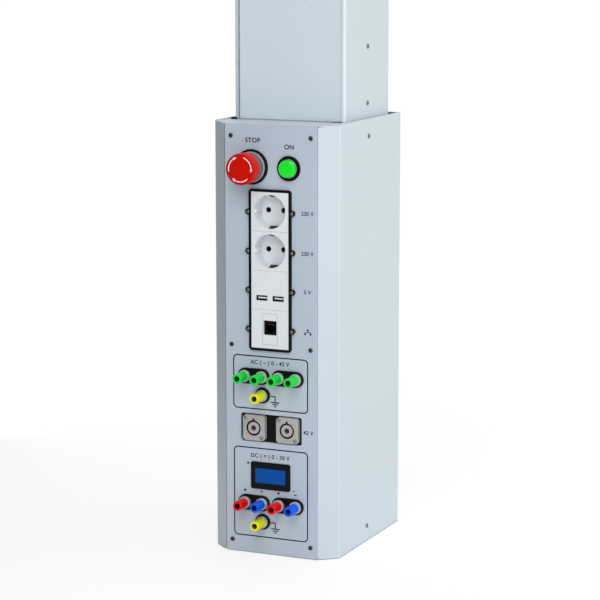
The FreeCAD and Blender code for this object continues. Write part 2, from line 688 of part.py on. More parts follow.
def module_column():
    """Centre height and total height of the column of modules."""
    height = MODULE_PITCH * MODULE_COUNT
    return MODULE_TOP - height / 2, height


def front_panel():
    panel = box(-PANEL_HALF, PANEL_HALF, 0, PANEL_THICKNESS, 0, HEAD_HEIGHT)
    panel = panel.makeChamfer(PANEL_EDGE, front_edges(panel))
    centre, height = module_column()
    spigot = 2 * (SOCKET_SPIGOT_WALL + SPIGOT_GAP)
    back = PANEL_THICKNESS
    holes = [disc(x, z, PANEL_SCREW[0] + SCREW_CLEARANCE, 0, back) for x, z in panel_screw_places()]
    holes += [disc(x, DEVICE_HEIGHT, DEVICE_HOLE, 0, back) for x in (ESTOP_X, LAMP_X)]
    holes += [disc(x, z, EAR_SCREW[0] + THREAD_CLEARANCE, 0, back) for x, z in ear_places()]
    holes += [disc(x, z, STUD_DIAMETER + STUD_HOLE_GAP, 0, back) for _, x, z in post_places()]
    holes.append(box(-(MODULE_WIDTH + spigot) / 2, (MODULE_WIDTH + spigot) / 2, 0, back,
                     centre - (height + spigot) / 2, centre + (height + spigot) / 2))
    holes.append(rounded_box(0, LOW_CENTRE_HEIGHT, LOW_CUTOUT_WIDTH, LOW_CUTOUT_HEIGHT,
                             LOW_CUTOUT_CORNER, 0, back))
    half_width = METER_BODY_WIDTH / 2 + METER_BODY_GAP
    half_height = METER_BODY_HEIGHT / 2 + METER_BODY_GAP
    holes.append(box(METER_CENTRE_X - half_width, METER_CENTRE_X + half_width, 0, back,
                     METER_CENTRE_HEIGHT - half_height, METER_CENTRE_HEIGHT + half_height))
    return drilled(panel, holes)


def panel_screws():
    return [placed(screw(PANEL_SCREW, PANEL_SCREW_LENGTH), FreeCAD.Vector(x, 0, z), FreeCAD.Vector(0, 1, 0))
            for x, z in panel_screw_places()]


# Frame and modules of the socket column

def socket_frame():
    centre, height = module_column()
    border = 2 * SOCKET_FRAME_BORDER
    face = rounded_box(0, centre, MODULE_WIDTH + border, height + border, SOCKET_FRAME_CORNER,
                       -SOCKET_FRAME_PROUD, 0)
    ears = [disc(x, z, 2 * EAR_RADIUS, -SOCKET_FRAME_PROUD, 0) for x, z in ear_places()]
    wall = 2 * SOCKET_SPIGOT_WALL
    spigot = box(-(MODULE_WIDTH + wall) / 2, (MODULE_WIDTH + wall) / 2, 0, SOCKET_SPIGOT_DEPTH,
                 centre - (height + wall) / 2, centre + (height + wall) / 2)
    frame = face.multiFuse(ears + [spigot]).removeSplitter()
    holes = [box(-MODULE_WIDTH / 2, MODULE_WIDTH / 2, -SOCKET_FRAME_PROUD, SOCKET_SPIGOT_DEPTH,
                 centre - height / 2, centre + height / 2)]
    holes += [disc(x, z, EAR_SCREW[0] + SCREW_CLEARANCE, -SOCKET_FRAME_PROUD, 0) for x, z in ear_places()]
    return drilled(frame, holes)


def socket_frame_screws():
    return [placed(screw(EAR_SCREW, EAR_SCREW_LENGTH), FreeCAD.Vector(x, -SOCKET_FRAME_PROUD, z),
                   FreeCAD.Vector(0, 1, 0)) for x, z in ear_places()]


def module_plate(height):
    """The plain white face of one module, with a skirt that fits the frame's opening."""
    half = MODULE_WIDTH / 2 - MODULE_GAP
    reach = MODULE_PITCH / 2 - MODULE_GAP
    return box(-half, half, MODULE_FACE, MODULE_FACE + MODULE_PLATE, height - reach, height + reach)


def earth_clip_profile(side):
    """One earth spring seen from the side: out of the floor, along the wall, bowed in, back to the wall."""
    wall = WELL_DIAMETER / 2
    start = MODULE_FACE + EARTH_CLIP_START
    bow = MODULE_FACE + EARTH_CLIP_BOW_AT
    rise = MODULE_FACE + WELL_DEPTH - EARTH_CLIP_RISE
    end = MODULE_FACE + WELL_DEPTH + EARTH_CLIP_FOOT
    outer = [(start, wall), (bow, wall - EARTH_CLIP_BOW), (rise, wall), (end, wall)]
    inner = [(y, z - EARTH_CLIP_THICKNESS) for y, z in outer[::-1]]
    return [(y, side * z) for y, z in outer + inner]


def earth_clip(height, side):
    half = EARTH_CLIP_WIDTH / 2
    points = [FreeCAD.Vector(-half, y, height + z) for y, z in earth_clip_profile(side)]
    return Part.Face(Part.makePolygon(points + points[:1])).extrude(FreeCAD.Vector(EARTH_CLIP_WIDTH, 0, 0))


def mains_socket(height):
    """A round well with two pin holes, guide ribs and slots for the earth springs."""
    floor = MODULE_FACE + WELL_DEPTH
    cup_back = floor + WELL_FLOOR
    body_back = cup_back + SOCKET_BODY_DEPTH
    half = SOCKET_BODY_SIZE / 2
    socket = module_plate(height)
    cup = disc(0, height, WELL_DIAMETER + 2 * WELL_WALL, MODULE_FACE, cup_back)
    body = box(-half, half, cup_back, body_back, height - half, height + half)
    socket = socket.multiFuse([cup, body]).removeSplitter()
    socket = socket.cut(disc(0, height, WELL_DIAMETER, MODULE_FACE, floor))
    ribs = []
    well_half = WELL_DIAMETER / 2
    for side in (-1, 1):
        inner = side * (well_half - GUIDE_RIB_DEPTH)
        outer = side * (well_half + WELL_WALL / 2)
        ribs.append(box(min(inner, outer), max(inner, outer), MODULE_FACE + GUIDE_RIB_SETBACK, floor,
                        height - GUIDE_RIB_WIDTH / 2, height + GUIDE_RIB_WIDTH / 2))
    socket = socket.multiFuse(ribs).removeSplitter()
    holes = []
    pocket_x = PIN_CONTACT_SPACE / 2 + PIN_CONTACT_SHEET + CONTACT_GAP
    pocket_z = PIN_CONTACT_WIDTH / 2 + CONTACT_GAP
    for x in (-PIN_PITCH / 2, PIN_PITCH / 2):
        holes.append(disc(x, height, PIN_HOLE, floor, cup_back))
        holes.append(box(x - pocket_x, x + pocket_x, cup_back, body_back,
                         height - pocket_z, height + pocket_z))
    slot = EARTH_CLIP_WIDTH / 2 + EARTH_SLOT_MARGIN
    for side in (-1, 1):
        low = side * (well_half - EARTH_CLIP_THICKNESS - EARTH_SLOT_MARGIN)
        high = side * (well_half + EARTH_SLOT_MARGIN)
        holes.append(box(-slot, slot, MODULE_FACE + EARTH_SLOT_START, floor + EARTH_CLIP_FOOT,
                         height + min(low, high), height + max(low, high)))
    return drilled(socket, holes)


def pin_contact(x, height):
    """A springy fork that grips one pin from both sides."""
    start = MODULE_FACE + WELL_DEPTH + WELL_FLOOR
    outer = PIN_CONTACT_SPACE / 2 + PIN_CONTACT_SHEET
    half = PIN_CONTACT_WIDTH / 2
    fork = box(x - outer, x + outer, start, start + PIN_CONTACT_LENGTH, height - half, height + half)
    inner = PIN_CONTACT_SPACE / 2
    return fork.cut(box(x - inner, x + inner, start, start + PIN_CONTACT_LENGTH - PIN_CONTACT_SHEET,
                        height - half, height + half))


def socket_contacts():
    """Earth springs and pin contacts of both mains sockets."""
    pieces = []
    for height in module_centres()[:2]:
        pieces += [earth_clip(height, side) for side in (-1, 1)]
        pieces += [pin_contact(x, height) for x in (-PIN_PITCH / 2, PIN_PITCH / 2)]
    return pieces


def usb_centres():
    height = module_centres()[2] - USB_BELOW_CENTRE
    return [(-USB_PITCH / 2, height), (USB_PITCH / 2, height)]


def usb_plate():
    plate = module_plate(module_centres()[2])
    holes = []
    for x, z in usb_centres():
        holes.append(box(x - USB_HOLE_WIDTH / 2, x + USB_HOLE_WIDTH / 2,
                         MODULE_FACE, MODULE_FACE + MODULE_PLATE,
                         z - USB_HOLE_HEIGHT / 2, z + USB_HOLE_HEIGHT / 2))
    return drilled(plate, holes)


def usb_ports():
    """The metal shells of the two ports and the tongue inside each."""
    pieces = []
    width = USB_HOLE_WIDTH - 2 * USB_SHELL_GAP
    height = USB_HOLE_HEIGHT - 2 * USB_SHELL_GAP
    front = MODULE_FACE + USB_SHELL_SETBACK
    back = front + USB_SHELL_DEPTH
    wall = USB_SHELL_WALL
    for x, z in usb_centres():
        shell = box(x - width / 2, x + width / 2, front, back, z - height / 2, z + height / 2)
        cavity = box(x - width / 2 + wall, x + width / 2 - wall, front, back - USB_BACK,
                     z - height / 2 + wall, z + height / 2 - wall)
        pieces.append(shell.cut(cavity))
        pieces.append(box(x - USB_TONGUE_WIDTH / 2, x + USB_TONGUE_WIDTH / 2, front + USB_TONGUE_SETBACK,
                          back - USB_BACK, z - USB_TONGUE_THICKNESS / 2, z + USB_TONGUE_THICKNESS / 2))
    return pieces


def lan_plate():
    centre = module_centres()[3]
    hole = box(-LAN_INSERT_WIDTH / 2 - LAN_INSERT_GAP, LAN_INSERT_WIDTH / 2 + LAN_INSERT_GAP, MODULE_FACE,
               MODULE_FACE + MODULE_PLATE, centre - LAN_INSERT_HEIGHT / 2 - LAN_INSERT_GAP,
               centre + LAN_INSERT_HEIGHT / 2 + LAN_INSERT_GAP)
    return module_plate(centre).cut(hole)


def lan_opening(grow, y0, y1):
    """The square opening for the jack, made larger or smaller all round."""
    centre = module_centres()[3] + LAN_OPENING_RAISE
    half_width = LAN_OPENING_WIDTH / 2 + grow
    half_height = LAN_OPENING_HEIGHT / 2 + grow
    return box(-half_width, half_width, y0, y1, centre - half_height, centre + half_height)


def lan_insert():
    centre = module_centres()[3]
    insert = box(-LAN_INSERT_WIDTH / 2, LAN_INSERT_WIDTH / 2, MODULE_FACE, MODULE_FACE + MODULE_PLATE,
                 centre - LAN_INSERT_HEIGHT / 2, centre + LAN_INSERT_HEIGHT / 2)
    return insert.cut(lan_opening(0, MODULE_FACE, MODULE_FACE + MODULE_PLATE))


def lan_jack():
    """The black jack behind the opening, with the plug's cavity and the slot for its latch."""
    front = MODULE_FACE + LAN_JACK_SETBACK
    jack = lan_opening(-LAN_JACK_GAP, front, front + LAN_JACK_DEPTH)
    centre = module_centres()[3] + LAN_OPENING_RAISE
    cavity = box(-LAN_PLUG_WIDTH / 2, LAN_PLUG_WIDTH / 2, front, front + LAN_PLUG_DEPTH,
                 centre - LAN_PLUG_HEIGHT / 2, centre + LAN_PLUG_HEIGHT / 2)
    latch = box(-LAN_LATCH_WIDTH / 2, LAN_LATCH_WIDTH / 2, front, front + LAN_PLUG_DEPTH,
                centre - LAN_PLUG_HEIGHT / 2 - LAN_LATCH_HEIGHT, centre)
    return drilled(jack, [cavity, latch])


# Emergency stop and lamp

def estop_ring():
    ring = disc(ESTOP_X, DEVICE_HEIGHT, ESTOP_RING_DIAMETER, -ESTOP_RING_THICKNESS, 0)
    ring = ring.makeFillet(ESTOP_RING_ROUNDING, front_edges(ring))
    return ring.cut(disc(ESTOP_X, DEVICE_HEIGHT, DEVICE_HOLE, -ESTOP_RING_THICKNESS, 0))


def estop_collar():
    collar = disc(ESTOP_X, DEVICE_HEIGHT, ESTOP_RIM_DIAMETER, ESTOP_RIM_FRONT, -ESTOP_RING_THICKNESS)
    collar = collar.makeFillet(ESTOP_RIM_ROUNDING, front_edges(collar))
    collar = collar.multiFuse([
        cone(ESTOP_X, DEVICE_HEIGHT, ESTOP_CONE_TIP, ESTOP_CONE_BASE, ESTOP_TIP, ESTOP_RIM_FRONT),
        disc(ESTOP_X, DEVICE_HEIGHT, DEVICE_DIAMETER, -ESTOP_RING_THICKNESS, NECK_END)]).removeSplitter()
    bore = ESTOP_PLUNGER_DIAMETER + 2 * RUNNING_GAP
    return collar.cut(disc(ESTOP_X, DEVICE_HEIGHT, bore, ESTOP_TIP, NECK_END))


def estop_plunger():
    rod = disc(ESTOP_X, DEVICE_HEIGHT, ESTOP_PLUNGER_DIAMETER, PLUNGER_FRONT, PLUNGER_END)
    flange = disc(ESTOP_X, DEVICE_HEIGHT, ESTOP_FLANGE_DIAMETER, PLUNGER_FLANGE, PLUNGER_END)
    return rod.fuse(flange).removeSplitter()


def estop_head():
    head = disc(ESTOP_X, DEVICE_HEIGHT, ESTOP_HEAD_DIAMETER, ESTOP_FRONT, ESTOP_SKIRT_END)
    head = head.makeFillet(ESTOP_HEAD_ROUNDING, front_edges(head))
    cavity = ESTOP_HEAD_DIAMETER - 2 * ESTOP_SKIRT_WALL
    bore = ESTOP_PLUNGER_DIAMETER + 2 * RUNNING_GAP
    return drilled(head, [
        disc(ESTOP_X, DEVICE_HEIGHT, cavity, ESTOP_CAVITY_FLOOR, ESTOP_SKIRT_END),
        disc(ESTOP_X, DEVICE_HEIGHT, bore, ESTOP_SOCKET_FLOOR, ESTOP_CAVITY_FLOOR)])


def estop_contact_block():
    travel_end = PLUNGER_END + ESTOP_TRAVEL + ESTOP_STOP_GAP
    half = ESTOP_BLOCK_WIDTH / 2
    block = box(ESTOP_X - half, ESTOP_X + half, LOCKNUT_BACK, travel_end + ESTOP_BLOCK_BACK,
                DEVICE_HEIGHT - ESTOP_BLOCK_HEIGHT / 2, DEVICE_HEIGHT + ESTOP_BLOCK_HEIGHT / 2)
    neck = DEVICE_DIAMETER + 2 * RUNNING_GAP
    flange_bore = ESTOP_FLANGE_DIAMETER + 2 * ESTOP_FLANGE_GAP
    return drilled(block, [
        disc(ESTOP_X, DEVICE_HEIGHT, neck, LOCKNUT_BACK, NECK_END),
        disc(ESTOP_X, DEVICE_HEIGHT, flange_bore, NECK_END, travel_end)])


def control_locknuts():
    nuts = []
    bore = DEVICE_DIAMETER + 2 * RUNNING_GAP
    for x in (ESTOP_X, LAMP_X):
        nut = hexagon(x, DEVICE_HEIGHT, LOCKNUT_FLATS, PANEL_THICKNESS, LOCKNUT_BACK)
        nuts.append(nut.cut(disc(x, DEVICE_HEIGHT, bore, PANEL_THICKNESS, LOCKNUT_BACK)))
    return nuts


def lamp_bezel():
    """The black bezel with its threaded neck and the body behind the panel."""
    bezel = disc(LAMP_X, DEVICE_HEIGHT, LAMP_BEZEL_DIAMETER, -LAMP_BEZEL_THICKNESS, 0)
    bezel = bezel.makeFillet(LAMP_BEZEL_ROUNDING, front_edges(bezel))
    bezel = bezel.fuse(disc(LAMP_X, DEVICE_HEIGHT, DEVICE_DIAMETER, 0, LAMP_BODY_LENGTH)).removeSplitter()
    recess = LAMP_LENS_DIAMETER + 2 * LAMP_LENS_GAP
    return bezel.cut(disc(LAMP_X, DEVICE_HEIGHT, recess, -LAMP_BEZEL_THICKNESS, 0))


def lamp_ring():
    front = -LAMP_BEZEL_THICKNESS - LAMP_RING_HEIGHT
    ring = disc(LAMP_X, DEVICE_HEIGHT, LAMP_RING_DIAMETER, front, -LAMP_BEZEL_THICKNESS)
    ring = ring.makeChamfer(LAMP_RING_CHAMFER, front_edges(ring))
    recess = LAMP_LENS_DIAMETER + 2 * LAMP_LENS_GAP
    return ring.cut(disc(LAMP_X, DEVICE_HEIGHT, recess, front, -LAMP_BEZEL_THICKNESS))


def lamp_lens():
    lens = disc(LAMP_X, DEVICE_HEIGHT, LAMP_LENS_DIAMETER, -LAMP_BEZEL_THICKNESS - LAMP_LENS_PROUD, 0)
    return lens.makeFillet(LAMP_LENS_ROUNDING, front_edges(lens))


# Twist-lock sockets

def low_voltage_backplate():
    overlap = 2 * LOW_BACKPLATE_OVERLAP
    back = PANEL_THICKNESS + LOW_BACKPLATE_THICKNESS
    plate = rounded_box(0, LOW_CENTRE_HEIGHT, LOW_CUTOUT_WIDTH + overlap, LOW_CUTOUT_HEIGHT + overlap,
                        LOW_CUTOUT_CORNER, PANEL_THICKNESS, back)
    holes = []
    for x in (-LOW_SOCKET_X, LOW_SOCKET_X):
        holes.append(disc(x, LOW_CENTRE_HEIGHT, LOW_BODY_DIAMETER + 2 * LOW_BODY_GAP, PANEL_THICKNESS, back))
        holes += [disc(sx, sz, FLANGE_SCREW[0] + THREAD_CLEARANCE, PANEL_THICKNESS, back)
                  for sx, sz in flange_screw_places(x)]
    return drilled(plate, holes)


def flange_screw_places(x):
    """Upper left and lower right corner of one flange."""
    return [(x - LOW_SCREW_X, LOW_CENTRE_HEIGHT + LOW_SCREW_Z),
            (x + LOW_SCREW_X, LOW_CENTRE_HEIGHT - LOW_SCREW_Z)]


def low_voltage_socket(x):
    """A square flange with cut corners, a round body, and a ring groove round a centre core."""
    z = LOW_CENTRE_HEIGHT
    front = -LOW_FLANGE_PROUD
    width = LOW_FLANGE_WIDTH / 2
    height = LOW_FLANGE_HEIGHT / 2
    flange = box(x - width, x + width, front, PANEL_THICKNESS, z - height, z + height)
    flange = flange.makeChamfer(LOW_FLANGE_CUT, edges_along(flange, FreeCAD.Vector(0, 1, 0)))
    flange = flange.makeFillet(LOW_EDGE_ROUNDING, front_edges(flange))
    rim = disc(x, z, LOW_RIM_DIAMETER, front - LOW_RIM_HEIGHT, PANEL_THICKNESS)
    rim = rim.makeFillet(LOW_RIM_ROUNDING, front_edges(rim))
    body = disc(x, z, LOW_BODY_DIAMETER, PANEL_THICKNESS, PANEL_THICKNESS + LOW_BODY_DEPTH)
    socket = flange.multiFuse([rim, body]).removeSplitter()
    face = front - LOW_RIM_HEIGHT
    groove = disc(x, z, LOW_GROOVE_DIAMETER, face, face + LOW_GROOVE_DEPTH)
    top = z + LOW_GROOVE_DIAMETER / 2
    key = box(x - LOW_KEY_WIDTH / 2, x + LOW_KEY_WIDTH / 2, face, face + LOW_GROOVE_DEPTH,
              z, top + LOW_KEY_HEIGHT)
    socket = socket.cut(groove.fuse(key))
    core = disc(x, z, LOW_CORE_DIAMETER, face, face + LOW_GROOVE_DEPTH)
    core = core.makeFillet(LOW_EDGE_ROUNDING, front_edges(core))
    socket = socket.fuse(core).removeSplitter()
    holes = [disc(x, z, LOW_CENTRE_HOLE, face, face + LOW_CENTRE_DEPTH)]
    holes += [disc(sx, sz, FLANGE_SCREW[0] + SCREW_CLEARANCE, front, PANEL_THICKNESS)
              for sx, sz in flange_screw_places(x)]
    return drilled(socket, holes)


def low_voltage_screws():
    screws = []
    for x in (-LOW_SOCKET_X, LOW_SOCKET_X):
        for sx, sz in flange_screw_places(x):
            position = FreeCAD.Vector(sx, -LOW_FLANGE_PROUD, sz)
            screws.append(placed(screw(FLANGE_SCREW, LOW_SCREW_LENGTH), position, FreeCAD.Vector(0, 1, 0)))
    return screws


# Panel meter

def meter_bezel():
    x = METER_CENTRE_X
    z = METER_CENTRE_HEIGHT
    bezel = rounded_box(x, z, METER_WIDTH, METER_HEIGHT, METER_CORNER, -METER_PROUD, 0)
    bezel = bezel.makeChamfer(METER_BEVEL, front_edges(bezel))
    half_width = METER_BODY_WIDTH / 2
    half_height = METER_BODY_HEIGHT / 2
    body = box(x - half_width, x + half_width, 0, METER_BODY_DEPTH, z - half_height, z + half_height)
    bezel = bezel.fuse(body).removeSplitter()
    glass_back = -METER_PROUD + METER_WINDOW_RECESS + METER_WINDOW_THICKNESS
    pocket = box(x - METER_WINDOW_WIDTH / 2, x + METER_WINDOW_WIDTH / 2, -METER_PROUD, glass_back,
                 z - METER_WINDOW_HEIGHT / 2, z + METER_WINDOW_HEIGHT / 2)
    return bezel.cut(pocket)


def meter_window():
    x = METER_CENTRE_X
    z = METER_CENTRE_HEIGHT
    front = -METER_PROUD + METER_WINDOW_RECESS
    half_width = METER_WINDOW_WIDTH / 2 - METER_WINDOW_GAP
    half_height = METER_WINDOW_HEIGHT / 2 - METER_WINDOW_GAP
    return box(x - half_width, x + half_width, front, front + METER_WINDOW_THICKNESS,
               z - half_height, z + half_height)


# Binding posts

def post_bases():
    """Two long bases for four posts and a round one for the earth post, for each group."""
    bases = []
    hole = STUD_DIAMETER + STUD_HOLE_GAP
    for height in (AC_POST_HEIGHT, DC_POST_HEIGHT):
        shapes = [stadium(x, height, POST_PITCH + BASE_HEIGHT, BASE_HEIGHT, BASE_FACE, 0)
                  for x in (-POST_PAIR_X, POST_PAIR_X)]
        shapes.append(disc(EARTH_POST_X, height - EARTH_POST_DROP, BASE_HEIGHT, BASE_FACE, 0))
        for shape in shapes:
            shape = shape.makeChamfer(BASE_CHAMFER, front_edges(shape))
            holes = [disc(x, z, hole, BASE_FACE, 0) for _, x, z in post_places()]
            bases.append(drilled(shape, holes))
    return bases


def post_collars():
    """The pale rings between the bases and the caps."""
    rings = []
    for _, x, z in post_places():
        ring = disc(x, z, COLLAR_DIAMETER, COLLAR_FACE, BASE_FACE)
        ring = ring.makeChamfer(COLLAR_CHAMFER, front_edges(ring))
        rings.append(ring.cut(disc(x, z, STUD_DIAMETER + STUD_HOLE_GAP, COLLAR_FACE, BASE_FACE)))
    return rings


def post_studs():
    """The hollow studs that take a plug from the front."""
    studs = []
    front = CAP_FRONT + STUD_BEHIND_MOUTH
    for _, x, z in post_places():
        stud = disc(x, z, STUD_DIAMETER, front, PANEL_THICKNESS + STUD_BEHIND_PANEL)
        studs.append(stud.cut(disc(x, z, PLUG_BORE, front, front + PLUG_BORE_DEPTH)))
    return studs


def post_nuts():
    nuts = []
    back = PANEL_THICKNESS + POST_NUT_THICKNESS
    for _, x, z in post_places():
        nut = hexagon(x, z, POST_NUT_FLATS, PANEL_THICKNESS, back)
        nuts.append(nut.cut(disc(x, z, STUD_DIAMETER + THREAD_CLEARANCE, PANEL_THICKNESS, back)))
    return nuts


def post_bush(x, z):
    """The threaded bush inside a cap."""
    front = CAP_FRONT + CAP_MOUTH_DEPTH + BUSH_END_GAP
    back = CAP_REAR - BUSH_END_GAP
    bush = disc(x, z, BUSH_DIAMETER, front, back)
    return bush.cut(disc(x, z, STUD_DIAMETER + 2 * RUNNING_GAP, front, back))


def post_cap(x, z):
    """The coloured cap: narrower to the rear, with a mouth for the plug and a wider bore for the bush."""
    cap = cone(x, z, CAP_FRONT_DIAMETER, CAP_REAR_DIAMETER, CAP_FRONT, CAP_REAR)
    cap = cap.makeFillet(CAP_ROUNDING, front_edges(cap))
    return drilled(cap, [
        disc(x, z, CAP_MOUTH, CAP_FRONT, CAP_FRONT + CAP_MOUTH_DEPTH),
        disc(x, z, BUSH_DIAMETER + 2 * RUNNING_GAP, CAP_FRONT + CAP_MOUTH_DEPTH, CAP_REAR)])


# Build every node

os.makedirs("parts", exist_ok=True)

save("ceiling_plate", [ceiling_plate()])
save("trunk_channel", [trunk_channel()])
save("trunk_cover", [trunk_cover()])
save("hanger_bars", hanger_bars() + packing_bars())
save("side_screws", side_screws())
save("front_frame", [front_frame()])
save("housing_cover", [housing_cover()])
save("top_plate", [top_plate()])
save("bottom_plate", [bottom_plate()])
save("front_panel", [front_panel()])
save("panel_screws", panel_screws())
save("socket_frame", [socket_frame()])
save("socket_frame_screws", socket_frame_screws())
save("mains_socket_upper", [mains_socket(module_centres()[0])])
save("mains_socket_lower", [mains_socket(module_centres()[1])])
save("socket_contacts", socket_contacts())
save("usb_plate", [usb_plate()])
save("usb_ports", usb_ports())
save("lan_plate", [lan_plate()])
save("lan_insert", [lan_insert()])
save("lan_jack", [lan_jack()])
save("estop_ring", [estop_ring()])
save("estop_collar", [estop_collar()])
save("estop_plunger", [estop_plunger()])
save("estop_head", [estop_head()])
save("estop_contact_block", [estop_contact_block()])
save("control_locknuts", control_locknuts())
save("lamp_bezel", [lamp_bezel()])
save("lamp_ring", [lamp_ring()])
save("lamp_lens", [lamp_lens()])
save("low_voltage_backplate", [low_voltage_backplate()])
save("low_voltage_socket_left", [low_voltage_socket(-LOW_SOCKET_X)])
save("low_voltage_socket_right", [low_voltage_socket(LOW_SOCKET_X)])
save("low_voltage_screws", low_voltage_screws())
save("meter_bezel", [meter_bezel()])
save("meter_window", [meter_window()])
save("post_bases", post_bases())
save("post_collars", post_collars())
save("post_studs", post_studs())
save("post_nuts", post_nuts())
for post, post_x, post_z in post_places():
    save("cap_" + post, [post_cap(post_x, post_z)])
    save("bush_" + post, [post_bush(post_x, post_z)])
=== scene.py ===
# %% [markdown]
# # A ceiling service column, dressed for its picture
#
# The real object is a sheet-metal column that hangs from the ceiling of a laboratory. Its head
# carries an emergency stop, a lamp, mains sockets, data ports, binding posts and a meter. The
# measured solids come in as a fixed frame, and this lesson gives them their paint, plastics,
# metals, printed marks and light. Nothing here changes a size: each new piece is placed by the
# same measurements as the solids, in metres.

# %% Load the measured solids
import json
import math

import bmesh
import bpy
from mathutils import Matrix, Vector


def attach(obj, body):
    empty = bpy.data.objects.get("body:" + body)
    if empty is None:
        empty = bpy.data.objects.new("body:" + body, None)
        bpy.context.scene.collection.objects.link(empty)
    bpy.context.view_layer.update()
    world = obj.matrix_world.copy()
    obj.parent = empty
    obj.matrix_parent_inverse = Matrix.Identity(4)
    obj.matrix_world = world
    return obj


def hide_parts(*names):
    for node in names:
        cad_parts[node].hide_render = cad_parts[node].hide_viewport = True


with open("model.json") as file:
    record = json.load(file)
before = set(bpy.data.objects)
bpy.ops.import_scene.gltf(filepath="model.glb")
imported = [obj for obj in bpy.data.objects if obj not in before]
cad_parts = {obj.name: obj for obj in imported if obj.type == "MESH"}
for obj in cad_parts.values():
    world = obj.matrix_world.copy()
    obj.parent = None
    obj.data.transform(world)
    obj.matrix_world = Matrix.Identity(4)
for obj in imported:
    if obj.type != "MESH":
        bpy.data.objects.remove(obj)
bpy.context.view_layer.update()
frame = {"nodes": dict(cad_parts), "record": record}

# %% [markdown]
# The head is easiest to think of from the front: across from the panel's middle, back from the
# panel's face, up from the head's base. One helper turns such a place, given in millimetres,
# into the frame's metres, so every later number can be read off the front of the panel.

# %% A helper for places on the head
PANEL_TO_CENTRE = 118.5
BASE_TO_CEILING = 1000.0


def on_head(across, back, up):
    return Vector((across, back - PANEL_TO_CENTRE, up - BASE_TO_CEILING)) / 1000


print("the panel's foot is at", tuple(round(c, 4) for c in on_head(0, 0, 0)))

# %% [markdown]
# The picture was taken with a long lens from the right and a little above, so upright edges stay
# almost parallel. A camera needs a place, two turns and a focal length. They were worked out
# from the corners of the head and the trunk.

# %% Camera
CAMERA_PLACE = (1.0696, -2.4367, -0.2720)
CAMERA_YAW = math.radians(24.023)
CAMERA_PITCH = math.radians(9.518)
FOCAL_LENGTH = 136.3
FILM_WIDTH = 36
FARTHEST_SEEN = 100

lens = bpy.data.cameras.new("picture_camera")
lens.lens = FOCAL_LENGTH
lens.sensor_width = FILM_WIDTH
lens.clip_end = FARTHEST_SEEN
camera = bpy.data.objects.new("picture_camera", lens)
camera.location = CAMERA_PLACE
camera.rotation_euler = (math.pi / 2 - CAMERA_PITCH, 0, CAMERA_YAW)
bpy.context.collection.objects.link(camera)
bpy.context.scene.camera = camera
bpy.context.scene.view_settings.view_transform = "Standard"
print("camera at", tuple(round(c, 3) for c in camera.location))

# %% [markdown]
# Light, finishes and repeated shapes are all built from nodes. Written out, each node takes a
# line for every option and every link. Small helpers say the same in one line each: fill plain
# values into inputs, add a node with its options and values, draw a list of links, and start a
# material with its one shader.

# %% Helpers for nodes


def fill(node, values):
    """Give plain values to the inputs of a node."""
    for socket, value in values.items():
        node.inputs[socket].default_value = value


def add_node(tree, kind, values=None, **options):
    """Add a node, choose its options, and fill the inputs that hold plain values."""
    node = tree.nodes.new(kind)
    for option, choice in options.items():
        setattr(node, option, choice)
    fill(node, values or {})
    return node


def join(tree, *links):
    """Link each output to the input that stands beside it."""
    for source, target in links:
        tree.links.new(source, target)


def new_material(name):
    material = bpy.data.materials.new(name)
    material.use_nodes = True
    tree = material.node_tree
    return material, tree, tree.nodes["Principled BSDF"]


print("node helpers ready")

# %% [markdown]
# The background is white, and nearly all the light comes from the white room itself. So the world
# is the main lamp. The camera, mirrors and glass see it as plain white, and everything else is lit
# by a slightly weaker white, which keeps pale paint from burning out.

# %% World
WHITE = (1, 1, 1, 1)
ROOM_LIGHT = 0.93

world = bpy.data.worlds.new("studio")
bpy.context.scene.world = world
world.use_nodes = True
sky = world.node_tree
soft_light = sky.nodes["Background"]
fill(soft_light, {"Color": WHITE, "Strength": ROOM_LIGHT})
white = add_node(sky, "ShaderNodeBackground", {"Color": WHITE})
ray = add_node(sky, "ShaderNodeLightPath")
seen_or_mirrored = add_node(sky, "ShaderNodeMath", operation="MAXIMUM")
or_through_glass = add_node(sky, "ShaderNodeMath", operation="MAXIMUM")
choose = add_node(sky, "ShaderNodeMixShader")
join(sky,
     (ray.outputs["Is Camera Ray"], seen_or_mirrored.inputs[0]),
     (ray.outputs["Is Glossy Ray"], seen_or_mirrored.inputs[1]),
     (seen_or_mirrored.outputs[0], or_through_glass.inputs[0]),
     (ray.outputs["Is Transmission Ray"], or_through_glass.inputs[1]),
     (or_through_glass.outputs[0], choose.inputs["Fac"]),
     (soft_light.outputs[0], choose.inputs[1]),
     (white.outputs[0], choose.inputs[2]),
     (choose.outputs[0], sky.nodes["World Output"].inputs["Surface"]))
print("room light", ROOM_LIGHT)

# %% [markdown]
# The column throws only a faint shadow on the floor. A plain lit floor would come out grey, so
# for the camera it mixes its lit surface with plain white. That keeps the shadow and loses the
# grey.

# %% Floor
FLOOR_REACH = 60
FLOOR_GAP = 0.0005
FLOOR_COLOUR = (0.95, 0.95, 0.95, 1)
FLOOR_GLOW = 1.06
GLOW_SHARE = 0.72


def flat_sheet(name, corners, material):
    mesh = bpy.data.meshes.new(name)
    mesh.from_pydata(corners, [], [(0, 1, 2, 3)])
    mesh.materials.append(material)
    sheet = bpy.data.objects.new(name, mesh)
    bpy.context.collection.objects.link(sheet)
    return sheet


